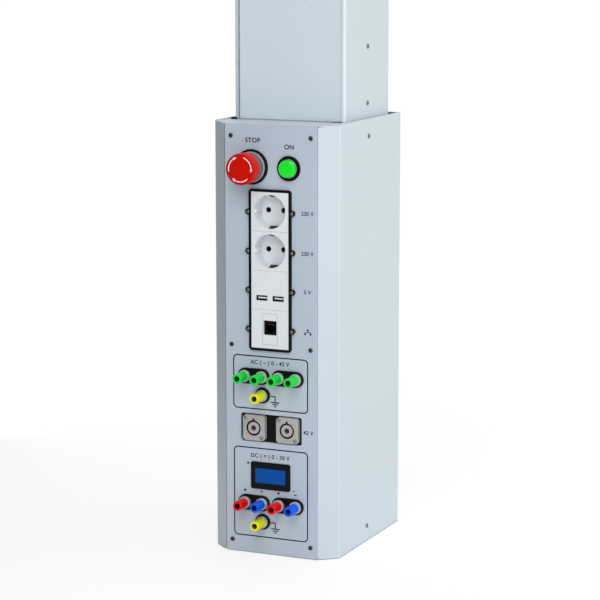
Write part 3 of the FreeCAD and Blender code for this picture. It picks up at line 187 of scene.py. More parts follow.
floor_paint, floor_tree, lit = new_material("studio_floor")
fill(lit, {"Base Color": FLOOR_COLOUR, "Roughness": 0.6, "Specular IOR Level": 0.2})
plain = add_node(floor_tree, "ShaderNodeEmission", {"Strength": FLOOR_GLOW})
camera_ray = add_node(floor_tree, "ShaderNodeLightPath")
share = add_node(floor_tree, "ShaderNodeMath", {1: GLOW_SHARE}, operation="MULTIPLY")
floor_mix = add_node(floor_tree, "ShaderNodeMixShader")
join(floor_tree,
     (camera_ray.outputs["Is Camera Ray"], share.inputs[0]),
     (share.outputs[0], floor_mix.inputs["Fac"]),
     (lit.outputs[0], floor_mix.inputs[1]),
     (plain.outputs[0], floor_mix.inputs[2]),
     (floor_mix.outputs[0], floor_tree.nodes["Material Output"].inputs["Surface"]))

below = -BASE_TO_CEILING / 1000 - FLOOR_GAP
floor = flat_sheet("floor", [(FLOOR_REACH * x, FLOOR_REACH * y, below)
                             for x, y in ((-1, -1), (1, -1), (1, 1), (-1, 1))], floor_paint)
print("floor at", below)

# %% [markdown]
# The panel fades towards its foot. A weak broad lamp on the right and a stronger one, high and
# close in front, give that fade and put small glints on plastics and screws.

# %% Lamps


def soft_lamp(name, place, aim, size, power):
    light = bpy.data.lights.new(name, "AREA")
    light.shape = "DISK"
    light.size = size
    light.energy = power
    lamp = bpy.data.objects.new(name, light)
    lamp.location = place
    lamp.rotation_euler = (Vector(aim) - Vector(place)).to_track_quat("-Z", "Y").to_euler()
    bpy.context.collection.objects.link(lamp)
    print(name, power, "W")


soft_lamp("right_lamp", place=(2.9, 1.2, 0.5), aim=(0, 0, -0.6), size=1.2, power=4)
soft_lamp("front_lamp", place=(0.50, -1.75, 0.60), aim=(0, 0, -0.65), size=1.1, power=11)

# %% [markdown]
# Right side, right slant and front are almost equally bright, but the left slant is only half as
# bright. That is a white room with something dark on its left, so a black board stands there, just
# outside the picture. The camera looks straight through it, so it is not in the way of a view from
# behind, while the object and its reflections still see it as black.

# %% Black board
BOARD_ACROSS = -0.62
BOARD_NEAR, BOARD_FAR = -2.20, 0.28
BOARD_LOW, BOARD_HIGH = -1.0, 1.0
BOARD_COLOUR = (0.02, 0.017, 0.012, 1)

board_cloth, board_tree, cloth = new_material("black_board")
fill(cloth, {"Base Color": BOARD_COLOUR, "Roughness": 1.0, "Specular IOR Level": 0.0})
to_lens = add_node(board_tree, "ShaderNodeLightPath")
see_through = add_node(board_tree, "ShaderNodeBsdfTransparent")
either = add_node(board_tree, "ShaderNodeMixShader")
join(board_tree,
     (to_lens.outputs["Is Camera Ray"], either.inputs["Fac"]),
     (cloth.outputs["BSDF"], either.inputs[1]),
     (see_through.outputs["BSDF"], either.inputs[2]),
     (either.outputs["Shader"], board_tree.nodes["Material Output"].inputs["Surface"]))
corners = [(BOARD_NEAR, BOARD_LOW), (BOARD_FAR, BOARD_LOW),
           (BOARD_FAR, BOARD_HIGH), (BOARD_NEAR, BOARD_HIGH)]
board = flat_sheet("black_board", [(BOARD_ACROSS, *corner) for corner in corners], board_cloth)
print("board at", BOARD_ACROSS)

# %% [markdown]
# Every finish starts the same way: one shader, and coordinates that stay with the object. Small
# helpers then add what real surfaces have: a slight drift of tone, a fine relief, and gloss that
# isn't quite even. The relief is only light and shade, so it may be far finer than any mesh.

# %% Helpers for finishes


def start_finish(name):
    finish, tree, shader = new_material(name)
    place = add_node(tree, "ShaderNodeTexCoord")
    return finish, tree, shader, place.outputs["Object"]


def cloud(tree, place, scale, detail=3.0, stretch=(1, 1, 1)):
    """Soft noise. The scale is about the number of patches to a metre."""
    turn = add_node(tree, "ShaderNodeMapping", {"Scale": stretch})
    noise = add_node(tree, "ShaderNodeTexNoise", {"Scale": scale, "Detail": detail})
    join(tree, (place, turn.inputs["Vector"]), (turn.outputs["Vector"], noise.inputs["Vector"]))
    return noise.outputs["Fac"]


def drift(tree, shader, pattern, colour, spread):
    """Let the colour wander a little below and above its value."""
    ramp = add_node(tree, "ShaderNodeValToRGB")
    low, high = ramp.color_ramp.elements
    low.position, high.position = 0.3, 0.7
    low.color = (*(c * (1 - spread) for c in colour), 1)
    high.color = (*(min(1.0, c * (1 + spread)) for c in colour), 1)
    join(tree, (pattern, ramp.inputs["Fac"]), (ramp.outputs["Color"], shader.inputs["Base Color"]))


def relief(tree, shader, pattern, microns):
    bump = add_node(tree, "ShaderNodeBump", {"Strength": 1.0, "Distance": microns / 1e6})
    join(tree, (pattern, bump.inputs["Height"]), (bump.outputs["Normal"], shader.inputs["Normal"]))


def varied_roughness(tree, shader, pattern, low, high):
    spread = add_node(tree, "ShaderNodeMapRange", {"To Min": low, "To Max": high})
    join(tree, (pattern, spread.inputs["Value"]),
         (spread.outputs["Result"], shader.inputs["Roughness"]))


print("finish helpers ready")

# %% [markdown]
# Housing and trunk are powder coated: the powder melts into a satin skin with a very fine orange
# peel. Noise about a millimetre wide and a hundredth deep makes that peel. The trunk's cover gets a
# lighter copy of the same paint, a painted highlight for its brighter front. Folds get paler paints
# as painted highlights, and seams darker ones as painted shade. The front panel has a smoother
# lacquer with a cooler, slightly violet grey.

# %% Paints


def powder_coat(name, colour, roughness, peel, microns):
    finish, tree, shader, place = start_finish(name)
    drift(tree, shader, cloud(tree, place, 7, 2), colour, 0.012)
    varied_roughness(tree, shader, cloud(tree, place, 120, 4), roughness - 0.04, roughness + 0.05)
    relief(tree, shader, cloud(tree, place, peel, 2), microns)
    fill(shader, {"Specular IOR Level": 0.4})
    return finish


housing_paint = powder_coat("housing_paint", (0.615, 0.700, 0.757), 0.42, 900, 12)
# A lighter copy of the housing paint: a painted highlight for the trunk cover's brighter front.
cover_paint_lit = powder_coat("cover_paint_lit", (0.690, 0.785, 0.845), 0.42, 900, 12)
# Painted highlight on the fold of the trunk's right lip.
fold_highlight_paint = powder_coat("fold_highlight_paint", (0.80, 0.87, 0.915), 0.42, 900, 8)
# Painted shade for the seam beside the trunk's cover and round the network insert.
seam_shade_grey = powder_coat("seam_shade_grey", (0.36, 0.42, 0.48), 0.50, 900, 8)
# Painted highlight along the folds where the slanted faces meet the sides.
soft_fold_highlight = powder_coat("soft_fold_highlight", (0.690, 0.775, 0.830), 0.42, 900, 8)
# Painted shade in the seams beside the panel.
seam_shade_dark = powder_coat("seam_shade_dark", (0.060, 0.070, 0.085), 0.60, 900, 8)
panel_lacquer = powder_coat("panel_lacquer", (0.530, 0.614, 0.718), 0.36, 2200, 4)
print("paints:", housing_paint.name, panel_lacquer.name)

# %% [markdown]
# The plastics are moulded in steel tools, so their skin copies the tool: nearly smooth on white
# covers and caps, finely eroded on the grey twist-lock sockets. Black parts are a very dark grey,
# because a true black would show no form at all. Each row gives colour, roughness, grain, the
# grain's depth in microns, and gloss.

# %% Plastics


def moulded(name, colour, roughness, grain, microns, gloss):
    finish, tree, shader, place = start_finish(name)
    drift(tree, shader, cloud(tree, place, 60, 3), colour, 0.025)
    varied_roughness(tree, shader, cloud(tree, place, 400, 3), roughness - 0.03, roughness + 0.05)
    relief(tree, shader, cloud(tree, place, grain, 2), microns)
    fill(shader, {"Specular IOR Level": gloss})
    return finish


plastics = {name: moulded(name, *look) for name, look in {
    "white_plastic": ((0.84, 0.88, 0.915), 0.30, 2500, 3, 0.35),
    "black_plastic": ((0.004, 0.004, 0.005), 0.30, 3000, 4, 0.14),
    "grey_plastic": ((0.470, 0.462, 0.450), 0.52, 3500, 12, 0.50),
    "dark_grey_plastic": ((0.165, 0.175, 0.190), 0.42, 3000, 5, 0.35),
    # A paler grey for the collar's rim: a painted highlight.
    "rim_highlight_plastic": ((0.36, 0.41, 0.46), 0.40, 3000, 5, 0.35),
    "red_plastic": ((0.64, 0.006, 0.002), 0.36, 2600, 4, 0.10),
    "cap_green": ((0.008, 0.800, 0.062), 0.32, 2600, 4, 0.14),
    "cap_red": ((0.950, 0.008, 0.008), 0.32, 2600, 4, 0.12),
    "cap_blue": ((0.004, 0.125, 0.980), 0.32, 2600, 4, 0.12),
    "cap_yellow": ((0.960, 0.930, 0.002), 0.32, 2600, 4, 0.08),
}.items()}
print("plastics:", len(plastics))

# %% [markdown]
# Little light finds its way out of deep places, and here that shade is painted into the colour. A
# tone that follows the place on the object shows the painted shade from any side. It is a sum
# worked out by Math nodes from the object's own coordinates, and it scales the colour that the
# finish already has. A scale above one paints a highlight instead.

# %% Helpers for painted light and shade by place


def arithmetic(tree):
    """A function that adds one Math node to the tree and gives back its result."""
    def work(operation, one, other=None):
        step = add_node(tree, "ShaderNodeMath", operation=operation)
        for number, value in enumerate((one, other)):
            if isinstance(value, float):
                step.inputs[number].default_value = value
            elif value is not None:
                join(tree, (value, step.inputs[number]))
        return step.outputs[0]
    return work


def coordinates(tree):
    """Across, back and up on the object, in metres."""
    place = add_node(tree, "ShaderNodeTexCoord")
    split = add_node(tree, "ShaderNodeSeparateXYZ")
    join(tree, (place.outputs["Object"], split.inputs[0]))
    return split.outputs


def from_axis(work, beside, above):
    """The distance from an axis that runs from front to back."""
    squares = work("ADD", work("MULTIPLY", beside, beside), work("MULTIPLY", above, above))
    return work("SQRT", squares)


def shade(tree, strength):
    """Multiply the finish's own colour by a strength: below one it paints shade, above one light.
    """
    colour = tree.nodes["Principled BSDF"].inputs["Base Color"]
    dim = add_node(tree, "ShaderNodeVectorMath", operation="SCALE")
    join(tree, (colour.links[0].from_socket, dim.inputs[0]), (strength, dim.inputs["Scale"]),
         (dim.outputs[0], colour))


print("tone helpers ready")

# %% [markdown]
# The mains wells get painted shade that grows a little greyer with depth. Their pin holes get dark
# painted shade, and so does the narrow slot behind each earth clip, at the top and the foot of a
# well. The two wells lie evenly above and below one middle, so a distance from that middle finds
# both at once.

# %% Painted shade in the mains wells
WELLS_MIDDLE = 378.8
WELL_FROM_MIDDLE = 22.5
WELL_FRONT, WELL_FLOOR, WELL_FLOOR_SHADE = -1.8, 14.9, 0.95
PIN_HOLE_FRONT, PIN_HOLE_SHADE = 15.1, 0.86
SLOT_FROM_WELL, SLOT_HALF_HEIGHT, SLOT_HALF_WIDTH = 19.4, 1.4, 2.85
SLOT_FRONT, SLOT_SHADE = -0.1, 0.90

white_tree = plastics["white_plastic"].node_tree
work = arithmetic(white_tree)
across, back, up = coordinates(white_tree)
depth = add_node(white_tree, "ShaderNodeMapRange", {
    "From Min": on_head(0, WELL_FRONT, 0).y, "From Max": on_head(0, WELL_FLOOR, 0).y,
    "To Min": 1.0, "To Max": WELL_FLOOR_SHADE})
join(white_tree, (back, depth.inputs["Value"]))

in_pin_hole = work("GREATER_THAN", back, on_head(0, PIN_HOLE_FRONT, 0).y)
from_middle = work("ABSOLUTE", work("SUBTRACT", up, on_head(0, 0, WELLS_MIDDLE).z))
from_well = work("ABSOLUTE", work("SUBTRACT", from_middle, WELL_FROM_MIDDLE / 1000))
from_slot = work("ABSOLUTE", work("SUBTRACT", from_well, SLOT_FROM_WELL / 1000))
at_rim = work("LESS_THAN", from_slot, SLOT_HALF_HEIGHT / 1000)
narrow = work("LESS_THAN", work("ABSOLUTE", across), SLOT_HALF_WIDTH / 1000)
inside = work("GREATER_THAN", back, on_head(0, SLOT_FRONT, 0).y)
in_slot = work("MULTIPLY", work("MULTIPLY", at_rim, narrow), inside)
kept = work("MULTIPLY", work("SUBTRACT", 1.0, work("MULTIPLY", in_pin_hole, PIN_HOLE_SHADE)),
            work("SUBTRACT", 1.0, work("MULTIPLY", in_slot, SLOT_SHADE)))
shade(white_tree, work("MULTIPLY", depth.outputs["Result"], kept))
print("well tone ends at", round(on_head(0, WELL_FLOOR, 0).y, 4))

# %% [markdown]
# A twist-lock socket has a deep ring groove, and a hole in the middle of its hub. Both get
# painted shade, the groove more. The two sockets stand evenly on both sides of the panel's middle.

# %% Painted shade in the twist-lock sockets
TWIST_UP, TWIST_ACROSS = 149.4, 21.0
GROOVE_RADIUS, HUB_HOLE_RADIUS = 11.5, 4.5
GROOVE_FRONT = -2.1
HUB_HOLE_SHADE, GROOVE_EXTRA_SHADE = 0.50, 0.45

grey_tree = plastics["grey_plastic"].node_tree
work = arithmetic(grey_tree)
across, back, up = coordinates(grey_tree)
radius = from_axis(work, work("SUBTRACT", work("ABSOLUTE", across), TWIST_ACROSS / 1000),
                   work("SUBTRACT", up, on_head(0, 0, TWIST_UP).z))
near = work("LESS_THAN", radius, GROOVE_RADIUS / 1000)
deep = work("GREATER_THAN", back, on_head(0, GROOVE_FRONT, 0).y)
beyond_hole = work("GREATER_THAN", radius, HUB_HOLE_RADIUS / 1000)
tone = work("ADD", work("MULTIPLY", beyond_hole, GROOVE_EXTRA_SHADE), HUB_HOLE_SHADE)
shade(grey_tree, work("SUBTRACT", 1.0, work("MULTIPLY", work("MULTIPLY", near, deep), tone)))
print("groove tone within", GROOVE_RADIUS, "mm")

# %% [markdown]
# The coloured caps are open at the front, and their mouths get painted shade. Four posts in a row
# stand in two pairs, and under each row stands one yellow post for earth, so a few short rules find
# the axis of every cap.

# %% Painted shade in the caps' mouths
PAIR_ACROSS, POST_FROM_PAIR = 21.3, 10.7
UPPER_ROW, LOWER_ROW = 210.0, 60.4
EARTH_ACROSS, UPPER_EARTH, LOWER_EARTH = -10.3, 188.3, 38.7
MOUTH_RADIUS, MOUTH_SHADE = 3.3, 0.80


def beside_four(work, across):
    from_pair = work("SUBTRACT", work("ABSOLUTE", across), PAIR_ACROSS / 1000)
    return work("SUBTRACT", work("ABSOLUTE", from_pair), POST_FROM_PAIR / 1000)


def beside_earth(work, across):
    return work("SUBTRACT", across, EARTH_ACROSS / 1000)


def above_row(height):
    return lambda work, up: work("SUBTRACT", up, on_head(0, 0, height).z)


def above_earth(work, up):
    middle = on_head(0, 0, (UPPER_EARTH + LOWER_EARTH) / 2).z
    half = (UPPER_EARTH - LOWER_EARTH) / 2000
    return work("SUBTRACT", work("ABSOLUTE", work("SUBTRACT", up, middle)), half)


for name, beside_axis, above_axis in (("cap_green", beside_four, above_row(UPPER_ROW)),
                                      ("cap_red", beside_four, above_row(LOWER_ROW)),
                                      ("cap_blue", beside_four, above_row(LOWER_ROW)),
                                      ("cap_yellow", beside_earth, above_earth)):
    cap_tree = plastics[name].node_tree
    work = arithmetic(cap_tree)
    across, back, up = coordinates(cap_tree)
    away = from_axis(work, beside_axis(work, across), above_axis(work, up))
    in_mouth = work("LESS_THAN", away, MOUTH_RADIUS / 1000)
    shade(cap_tree, work("SUBTRACT", 1.0, work("MULTIPLY", in_mouth, MOUTH_SHADE)))
    print(name, "has a dark mouth")

# %% [markdown]
# The side of the red head gets a painted highlight: a lighter red than its face. Sheet gets a
# painted contact shadow along its foot, where it stands on the floor or on the head's top plate.

# %% Painted highlight on the red side, painted shadow at the feet
RED_FACE_EDGE, SIDE_HIGHLIGHT_EXTRA = -30.9, 0.18

red_tree = plastics["red_plastic"].node_tree
work = arithmetic(red_tree)
across, back, up = coordinates(red_tree)
# Painted highlight: the red head's side is made lighter than its face.
on_side = work("GREATER_THAN", back, on_head(0, RED_FACE_EDGE, 0).y)
shade(red_tree, work("ADD", work("MULTIPLY", on_side, SIDE_HIGHLIGHT_EXTRA), 1.0))

# Painted contact shadow: sheet darker below a line at its foot, the trunk's cover where it meets
# the top plate.
for finish, foot_line, painted_foot_shadow in ((housing_paint, 0.8, 0.60), (panel_lacquer, 0.8, 0.60),
                                      (cover_paint_lit, 501.0, 0.45)):
    work = arithmetic(finish.node_tree)
    across, back, up = coordinates(finish.node_tree)
    in_foot = work("LESS_THAN", up, on_head(0, 0, foot_line).z)
    shade(finish.node_tree, work("SUBTRACT", 1.0, work("MULTIPLY", in_foot, painted_foot_shadow)))
    print(finish.name, "is dark below", foot_line, "mm")

# %% [markdown]
# Plated steel shows fine lines where it was drawn or turned, so its noise is stretched along one
# direction. The trim ring round the lamp is polished and only carries faint marks. Each row gives
# colour, roughness, the stretch of the lines, and their depth in microns.

# %% Metals


def metal(name, colour, roughness, stretch, microns):
    finish, tree, shader, place = start_finish(name)
    lines = cloud(tree, place, 500, 4, stretch)
    drift(tree, shader, lines, colour, 0.06)
    varied_roughness(tree, shader, lines, roughness - 0.05, roughness + 0.08)
    relief(tree, shader, lines, microns)
    fill(shader, {"Metallic": 1.0})
    return finish


metals = {name: metal(name, *look) for name, look in {
    "plain_steel": ((0.56, 0.57, 0.58), 0.34, (1, 1, 0.05), 6),
    "dark_screw": ((0.085, 0.082, 0.078), 0.38, (1, 0.2, 1), 4),
    "side_screw": ((0.25, 0.26, 0.27), 0.36, (1, 1, 0.2), 4),
    "flange_screw": ((0.36, 0.36, 0.35), 0.36, (1, 0.2, 1), 4),
    "clip_metal": ((0.095, 0.088, 0.078), 0.30, (1, 0.1, 1), 3),
    "port_steel": ((0.14, 0.14, 0.15), 0.34, (1, 1, 0.05), 6),
    "ring_steel": ((0.40, 0.41, 0.42), 0.24, (1, 0.2, 1), 3),
    "pale_screw": ((0.27, 0.27, 0.26), 0.32, (1, 0.2, 1), 4),
    "bright_metal": ((0.78, 0.79, 0.80), 0.14, (1, 1, 0.2), 2),
    "gold_contact": ((0.80, 0.58, 0.22), 0.22, (1, 0.1, 1), 2),
    # This brass is far darker than real brass: it paints the shade on the studs deep in the caps'
    # mouths.
    "brass": ((0.07, 0.055, 0.026), 0.30, (1, 0.1, 1), 4),
}.items()}
print("metals:", len(metals))

# %% [markdown]
# Three finishes let light through or give it off. The collars of the binding posts are a milky
# clear plastic. The lamp's lens is lit from behind. The meter's window is smoked blue over a lit
# display. Noise drifts their colour a little, as it does in real mouldings.

# %% Clear and lit finishes


def clear_or_lit(name, colour, grain, spread, values):
    finish, tree, shader, place = start_finish(name)
    drift(tree, shader, cloud(tree, place, grain), colour, spread)
    fill(shader, values)
    return finish


glowing = {
    "pale_clear_plastic": clear_or_lit("pale_clear_plastic", (0.66, 0.72, 0.71), 300, 0.03, {
        "Roughness": 0.28, "Transmission Weight": 0.25, "IOR": 1.49}),
    "lamp_green": clear_or_lit("lamp_green", (0.004, 0.50, 0.015), 250, 0.04, {
        "Roughness": 0.30, "Emission Color": (0.003, 0.83, 0.018, 1), "Emission Strength": 0.42}),
    "display_blue": clear_or_lit("display_blue", (0.0, 0.030, 0.14), 80, 0.10, {
        "Roughness": 0.12, "Specular IOR Level": 0.12,
        "Emission Color": (0.0, 0.070, 0.33, 1), "Emission Strength": 0.62}),
}
print("clear and lit:", sorted(glowing))

# %% [markdown]
# Ink and dark pads complete the list. Screen-printed ink is a matt film a few hundredths thick. The
# corner pads at the trunk's foot are a matt near-black that hardly shines, and they paint the shade
# in the gaps there.

# %% Ink, and dark pads of painted shade


def matt(name, colour, roughness, grain, microns):
    finish, tree, shader, place = start_finish(name)
    drift(tree, shader, cloud(tree, place, 200, 3), colour, 0.06)
    relief(tree, shader, cloud(tree, place, grain, 2), microns)
    fill(shader, {"Roughness": roughness, "Specular IOR Level": 0.25})
    return finish


print_ink = matt("print_ink", (0.006, 0.007, 0.009), 0.62, 4000, 3)
white_ink = matt("white_ink", (0.86, 0.86, 0.86), 0.55, 4000, 3)
pad_shade_black = matt("pad_shade_black", (0.008, 0.008, 0.009), 0.75, 2500, 20)
print("films and rubber:", print_ink.name, white_ink.name, pad_shade_black.name)

# %% [markdown]
# Each solid names the finish it should have. The table below goes from that name to the finish
# made above, and the solids' own slots are filled without touching their shapes. A few get a tone
# of their own: two sets of screws, the lamp's ring, earth clips and ports. The trunk's cover gets
# the lighter copy of the housing paint, a painted highlight for its front.

# %% Give the solids their finishes
finishes = {"painted_sheet": housing_paint, "panel_face": panel_lacquer,
            **plastics, **metals, **glowing}
own_finish = {
    "trunk_cover": cover_paint_lit,
    "side_screws": metals["side_screw"],
    "low_voltage_screws": metals["flange_screw"],
    "lamp_ring": metals["ring_steel"],
    "socket_contacts": metals["clip_metal"],
    "usb_ports": metals["port_steel"],
}
for part in frame["record"]["subparts"]:
    solid = frame["nodes"][part["node"]]
    for place in solid.material_slots:
        place.material = own_finish.get(part["node"], finishes[part["material_slot"]])

# %% [markdown]
# New pieces need a mesh with clean outward faces, a finish, and a body to move with. One helper
# does all three, so that no piece is forgotten. A second one makes a box from the two limits of
# its place across, back and up.

# %% Helpers: put a piece in the scene, make a box


def settle(name, shape, finish, body="column"):
    bmesh.ops.remove_doubles(shape, verts=shape.verts, dist=1e-7)
    bmesh.ops.recalc_face_normals(shape, faces=shape.faces)
    mesh = bpy.data.meshes.new(name)
    shape.to_mesh(mesh)
    shape.free()
    mesh.materials.append(finish)
    piece = bpy.data.objects.new(name, mesh)
    bpy.context.collection.objects.link(piece)
    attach(piece, body)
    print(name, len(mesh.polygons), "faces")
    return piece


def add_block(shape, across, back, up):
    low, high = (on_head(*limits) for limits in zip(across, back, up))
    xs, ys, zs = zip(low, high)
    corners = [shape.verts.new((x, y, z)) for x in xs for y in ys for z in zs]
    for side in ((0, 1, 3, 2), (4, 6, 7, 5), (0, 4, 5, 1),
                 (2, 3, 7, 6), (0, 2, 6, 4), (1, 5, 7, 3)):
        shape.faces.new([corners[i] for i in side])


def around(middle, half):
    """The two limits of a stretch with a known middle."""
    return middle - half, middle + half


print("piece helpers ready")

# %% [markdown]
# Geometry Nodes repeat a shape by a rule, or sweep one along a path. A tree that repeats takes an
# object's mesh as its pattern, and every tree has named inputs for its sizes. All end in the same
# two nodes, which make a plain mesh and give it its finish, so two helpers open and close a tree.

# %% Helpers: open and close a tree


def new_tree(name, inputs):
    tree = bpy.data.node_groups.new(name, "GeometryNodeTree")
    tree.is_modifier = True
    tree.interface.new_socket("Geometry", in_out="INPUT", socket_type="NodeSocketGeometry")
    for label, kind in inputs:
        tree.interface.new_socket(label, in_out="INPUT", socket_type="NodeSocket" + kind)
    tree.interface.new_socket("Geometry", in_out="OUTPUT", socket_type="NodeSocketGeometry")
    return tree, add_node(tree, "NodeGroupInput"), add_node(tree, "NodeGroupOutput")


def close_tree(tree, geometry, source, target):
    plain_mesh = add_node(tree, "GeometryNodeRealizeInstances")
    paint = add_node(tree, "GeometryNodeSetMaterial")
    join(tree,
         (geometry, plain_mesh.inputs["Geometry"]),
         (plain_mesh.outputs["Geometry"], paint.inputs["Geometry"]),
         (source.outputs["Finish"], paint.inputs["Material"]),
         (paint.outputs["Geometry"], target.inputs["Geometry"]))


print("tree helpers ready")

# %% [markdown]
# Contacts in a port stand in a row with an even pitch. A mesh line with an offset gives the
# places of the row, and the pattern is put on each of them.

# %% Tree that repeats a shape in a row
row_tree, row_in, row_out = new_tree(
    "repeat_in_a_row", [("Count", "Int"), ("Step", "Vector"), ("Finish", "Material")])
row_line = add_node(row_tree, "GeometryNodeMeshLine", mode="OFFSET")
row_copies = add_node(row_tree, "GeometryNodeInstanceOnPoints")
join(row_tree,
     (row_in.outputs["Count"], row_line.inputs["Count"]),
     (row_in.outputs["Step"], row_line.inputs["Offset"]),
     (row_line.outputs["Mesh"], row_copies.inputs["Points"]),
     (row_in.outputs["Geometry"], row_copies.inputs["Instance"]))
close_tree(row_tree, row_copies.outputs["Instances"], row_in, row_out)
print("tree:", row_tree.name)

# %% [markdown]
# The arrows on the emergency stop go round a centre. Here all the copies sit on one point, each
# turned by its number times a whole turn over the count, and the ring is then moved to its centre.

# %% Tree that repeats a shape round a centre
round_tree, round_in, round_out = new_tree(
    "repeat_round_a_centre", [("Count", "Int"), ("Centre", "Vector"), ("Finish", "Material")])
round_points = add_node(round_tree, "GeometryNodeMeshLine", {"Offset": (0, 0, 0)}, mode="OFFSET")
number = add_node(round_tree, "GeometryNodeInputIndex")
turn_step = add_node(round_tree, "ShaderNodeMath", {0: math.tau}, operation="DIVIDE")
turn_angle = add_node(round_tree, "ShaderNodeMath", operation="MULTIPLY")
turn = add_node(round_tree, "ShaderNodeCombineXYZ")
round_copies = add_node(round_tree, "GeometryNodeInstanceOnPoints")
to_centre = add_node(round_tree, "GeometryNodeTransform")
join(round_tree,
     (round_in.outputs["Count"], round_points.inputs["Count"]),
     (round_in.outputs["Count"], turn_step.inputs[1]),
     (number.outputs[0], turn_angle.inputs[0]),
     (turn_step.outputs[0], turn_angle.inputs[1]),
     (turn_angle.outputs[0], turn.inputs["Y"]),
     (turn.outputs[0], round_copies.inputs["Rotation"]),
     (round_points.outputs["Mesh"], round_copies.inputs["Points"]),
     (round_in.outputs["Geometry"], round_copies.inputs["Instance"]),
     (round_copies.outputs["Instances"], to_centre.inputs["Geometry"]),
     (round_in.outputs["Centre"], to_centre.inputs["Translation"]))
close_tree(round_tree, to_centre.outputs["Geometry"], round_in, round_out)
print("tree:", round_tree.name)

# %% [markdown]
# A tree is only a recipe. To get a mesh that any program can read, the object is evaluated once
# with its inputs set, and the result is copied into a new object. Inputs are addressed by their
# socket identifiers, because names may repeat.

# %% Helper: run a tree and keep the mesh


def grow(name, tree, values, pattern=None, body="column"):
    mesh = bpy.data.meshes.new(name + "_pattern")
    if pattern:
        bmesh.ops.recalc_face_normals(pattern, faces=pattern.faces)
        pattern.to_mesh(mesh)
        pattern.free()
    seed = bpy.data.objects.new(name + "_pattern", mesh)
    bpy.context.collection.objects.link(seed)
    modifier = seed.modifiers.new(tree.name, "NODES")
    modifier.node_group = tree
    for item in tree.interface.items_tree:
        if item.in_out == "INPUT" and item.name in values:
            modifier[item.identifier] = values[item.name]
    ready = seed.evaluated_get(bpy.context.evaluated_depsgraph_get())
    shape = bmesh.new()
    copy = bpy.data.meshes.new_from_object(ready)
    shape.from_mesh(copy)
    bpy.data.objects.remove(seed)
    bpy.data.meshes.remove(mesh)
    bpy.data.meshes.remove(copy)
    return settle(name, shape, values["Finish"], body)


print("grow helper ready")

# %% [markdown]
# Knobs, rims and collars are turned shapes. A lathe sweeps a profile round an axis, and the helper
# closes the seam and the middle of a face. Rounded edges are short arcs in the profile, and smooth
# shading hides the facets without blurring the sharp edges.

# %% Helpers: a lathe, a round and smooth shading


def turned(profile, across, up, steps=96):
    """Profile points are (radius, back) in millimetres, given once round a closed outline."""
    shape = bmesh.new()
    rings = []
    for radius, back in profile:
        if radius < 1e-6:
            rings.append([shape.verts.new(on_head(across, back, up))])
            continue
        angles = [math.tau * step / steps for step in range(steps)]
        places = [on_head(across + radius * math.cos(a), back, up + radius * math.sin(a))
                  for a in angles]
        rings.append([shape.verts.new(place) for place in places])
    pairs = list(zip(rings, rings[1:]))
    if len(rings[0]) > 1 and len(rings[-1]) > 1:
        pairs.append((rings[-1], rings[0]))
    for one, other in pairs:
        for step in range(steps):
            after = (step + 1) % steps
            corners = [one[step % len(one)], one[after % len(one)],
                       other[after % len(other)], other[step % len(other)]]
            shape.faces.new(list(dict.fromkeys(corners)))
    return shape


def rounded(centre_radius, centre_back, size, start, stop, steps=6):
    """Points on a round of a profile, from one angle to another in degrees."""
    angles = [math.radians(start + (stop - start) * step / steps) for step in range(steps + 1)]
    return [(centre_radius + size * math.cos(a), centre_back + size * math.sin(a)) for a in angles]


def smooth(piece, sharp_from=35):
    for face in piece.data.polygons:
        face.use_smooth = True
    piece.data.set_sharp_from_angle(angle=math.radians(sharp_from))


print("lathe ready")

# %% [markdown]
# The red head of the emergency stop has a skirt, a rounded shoulder and a face that lies a little
# below its rim, so that the printed arrows don't rub off. It is turned with softer rounds than
# its solid and takes that solid's place. The profile starts at the middle of the face, goes round
# the outside to the skirt, and comes back through the hollow inside.

# %% Red head of the emergency stop
STOP_ACROSS = -23.3
CONTROLS_UP = 451.4
red_profile = (
    [(0, -31.8), (15.7, -31.8)]
    + rounded(16.2, -31.6, 0.4, 210, 270, 3)
    + rounded(16.2, -30.4, 1.6, 270, 360)[1:]
    + rounded(17.5, -18.3, 0.3, 0, 90, 3)
    + [(16.2, -18.0), (16.1, -18.1), (16.1, -23.5), (7.05, -23.5), (7.05, -28.5), (0, -28.5)])
red_head = settle("red_head", turned(red_profile, STOP_ACROSS, CONTROLS_UP),
                  plastics["red_plastic"], "estop_head")
smooth(red_head)
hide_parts("estop_head")

# %% [markdown]
# Printed marks are thin plates. A line of ink is a ribbon along a path, and an arrow's tip is a
# wedge with three corners. Both are drawn across and up, in millimetres, between a front and a
# back face.

# %% Helpers: a ribbon and a wedge of ink


def ribbon(shape, points, width, front, back):
    rows = []
    for index, (across, up) in enumerate(points):
        before = points[max(index - 1, 0)]
        after = points[min(index + 1, len(points) - 1)]
        run = Vector((after[0] - before[0], after[1] - before[1])).normalized()
        off = Vector((-run.y, run.x)) * width / 2
        rows.append([shape.verts.new((across + side * off.x, depth, up + side * off.y))
                     for side, depth in ((-1, front), (1, front), (1, back), (-1, back))])
    for one, other in zip(rows, rows[1:]):
        for side in range(4):
            after = (side + 1) % 4
            shape.faces.new([one[side], one[after], other[after], other[side]])
    shape.faces.new(rows[0])
    shape.faces.new(rows[-1][::-1])


def wedge(shape, corners, front, back):
    near = [shape.verts.new((across, front, up)) for across, up in corners]
    far = [shape.verts.new((across, back, up)) for across, up in corners]
    shape.faces.new(near)
    shape.faces.new(far[::-1])
    for index in range(len(corners)):
        after = (index + 1) % len(corners)
        shape.faces.new([near[index], far[index], far[after], near[after]])


def to_metres(shape, place):
    """Turn a shape drawn in millimetres into metres and move it to its place."""
    bmesh.ops.scale(shape, vec=(0.001, 0.001, 0.001), verts=shape.verts)
    bmesh.ops.translate(shape, vec=place, verts=shape.verts)


print("ink helpers ready")

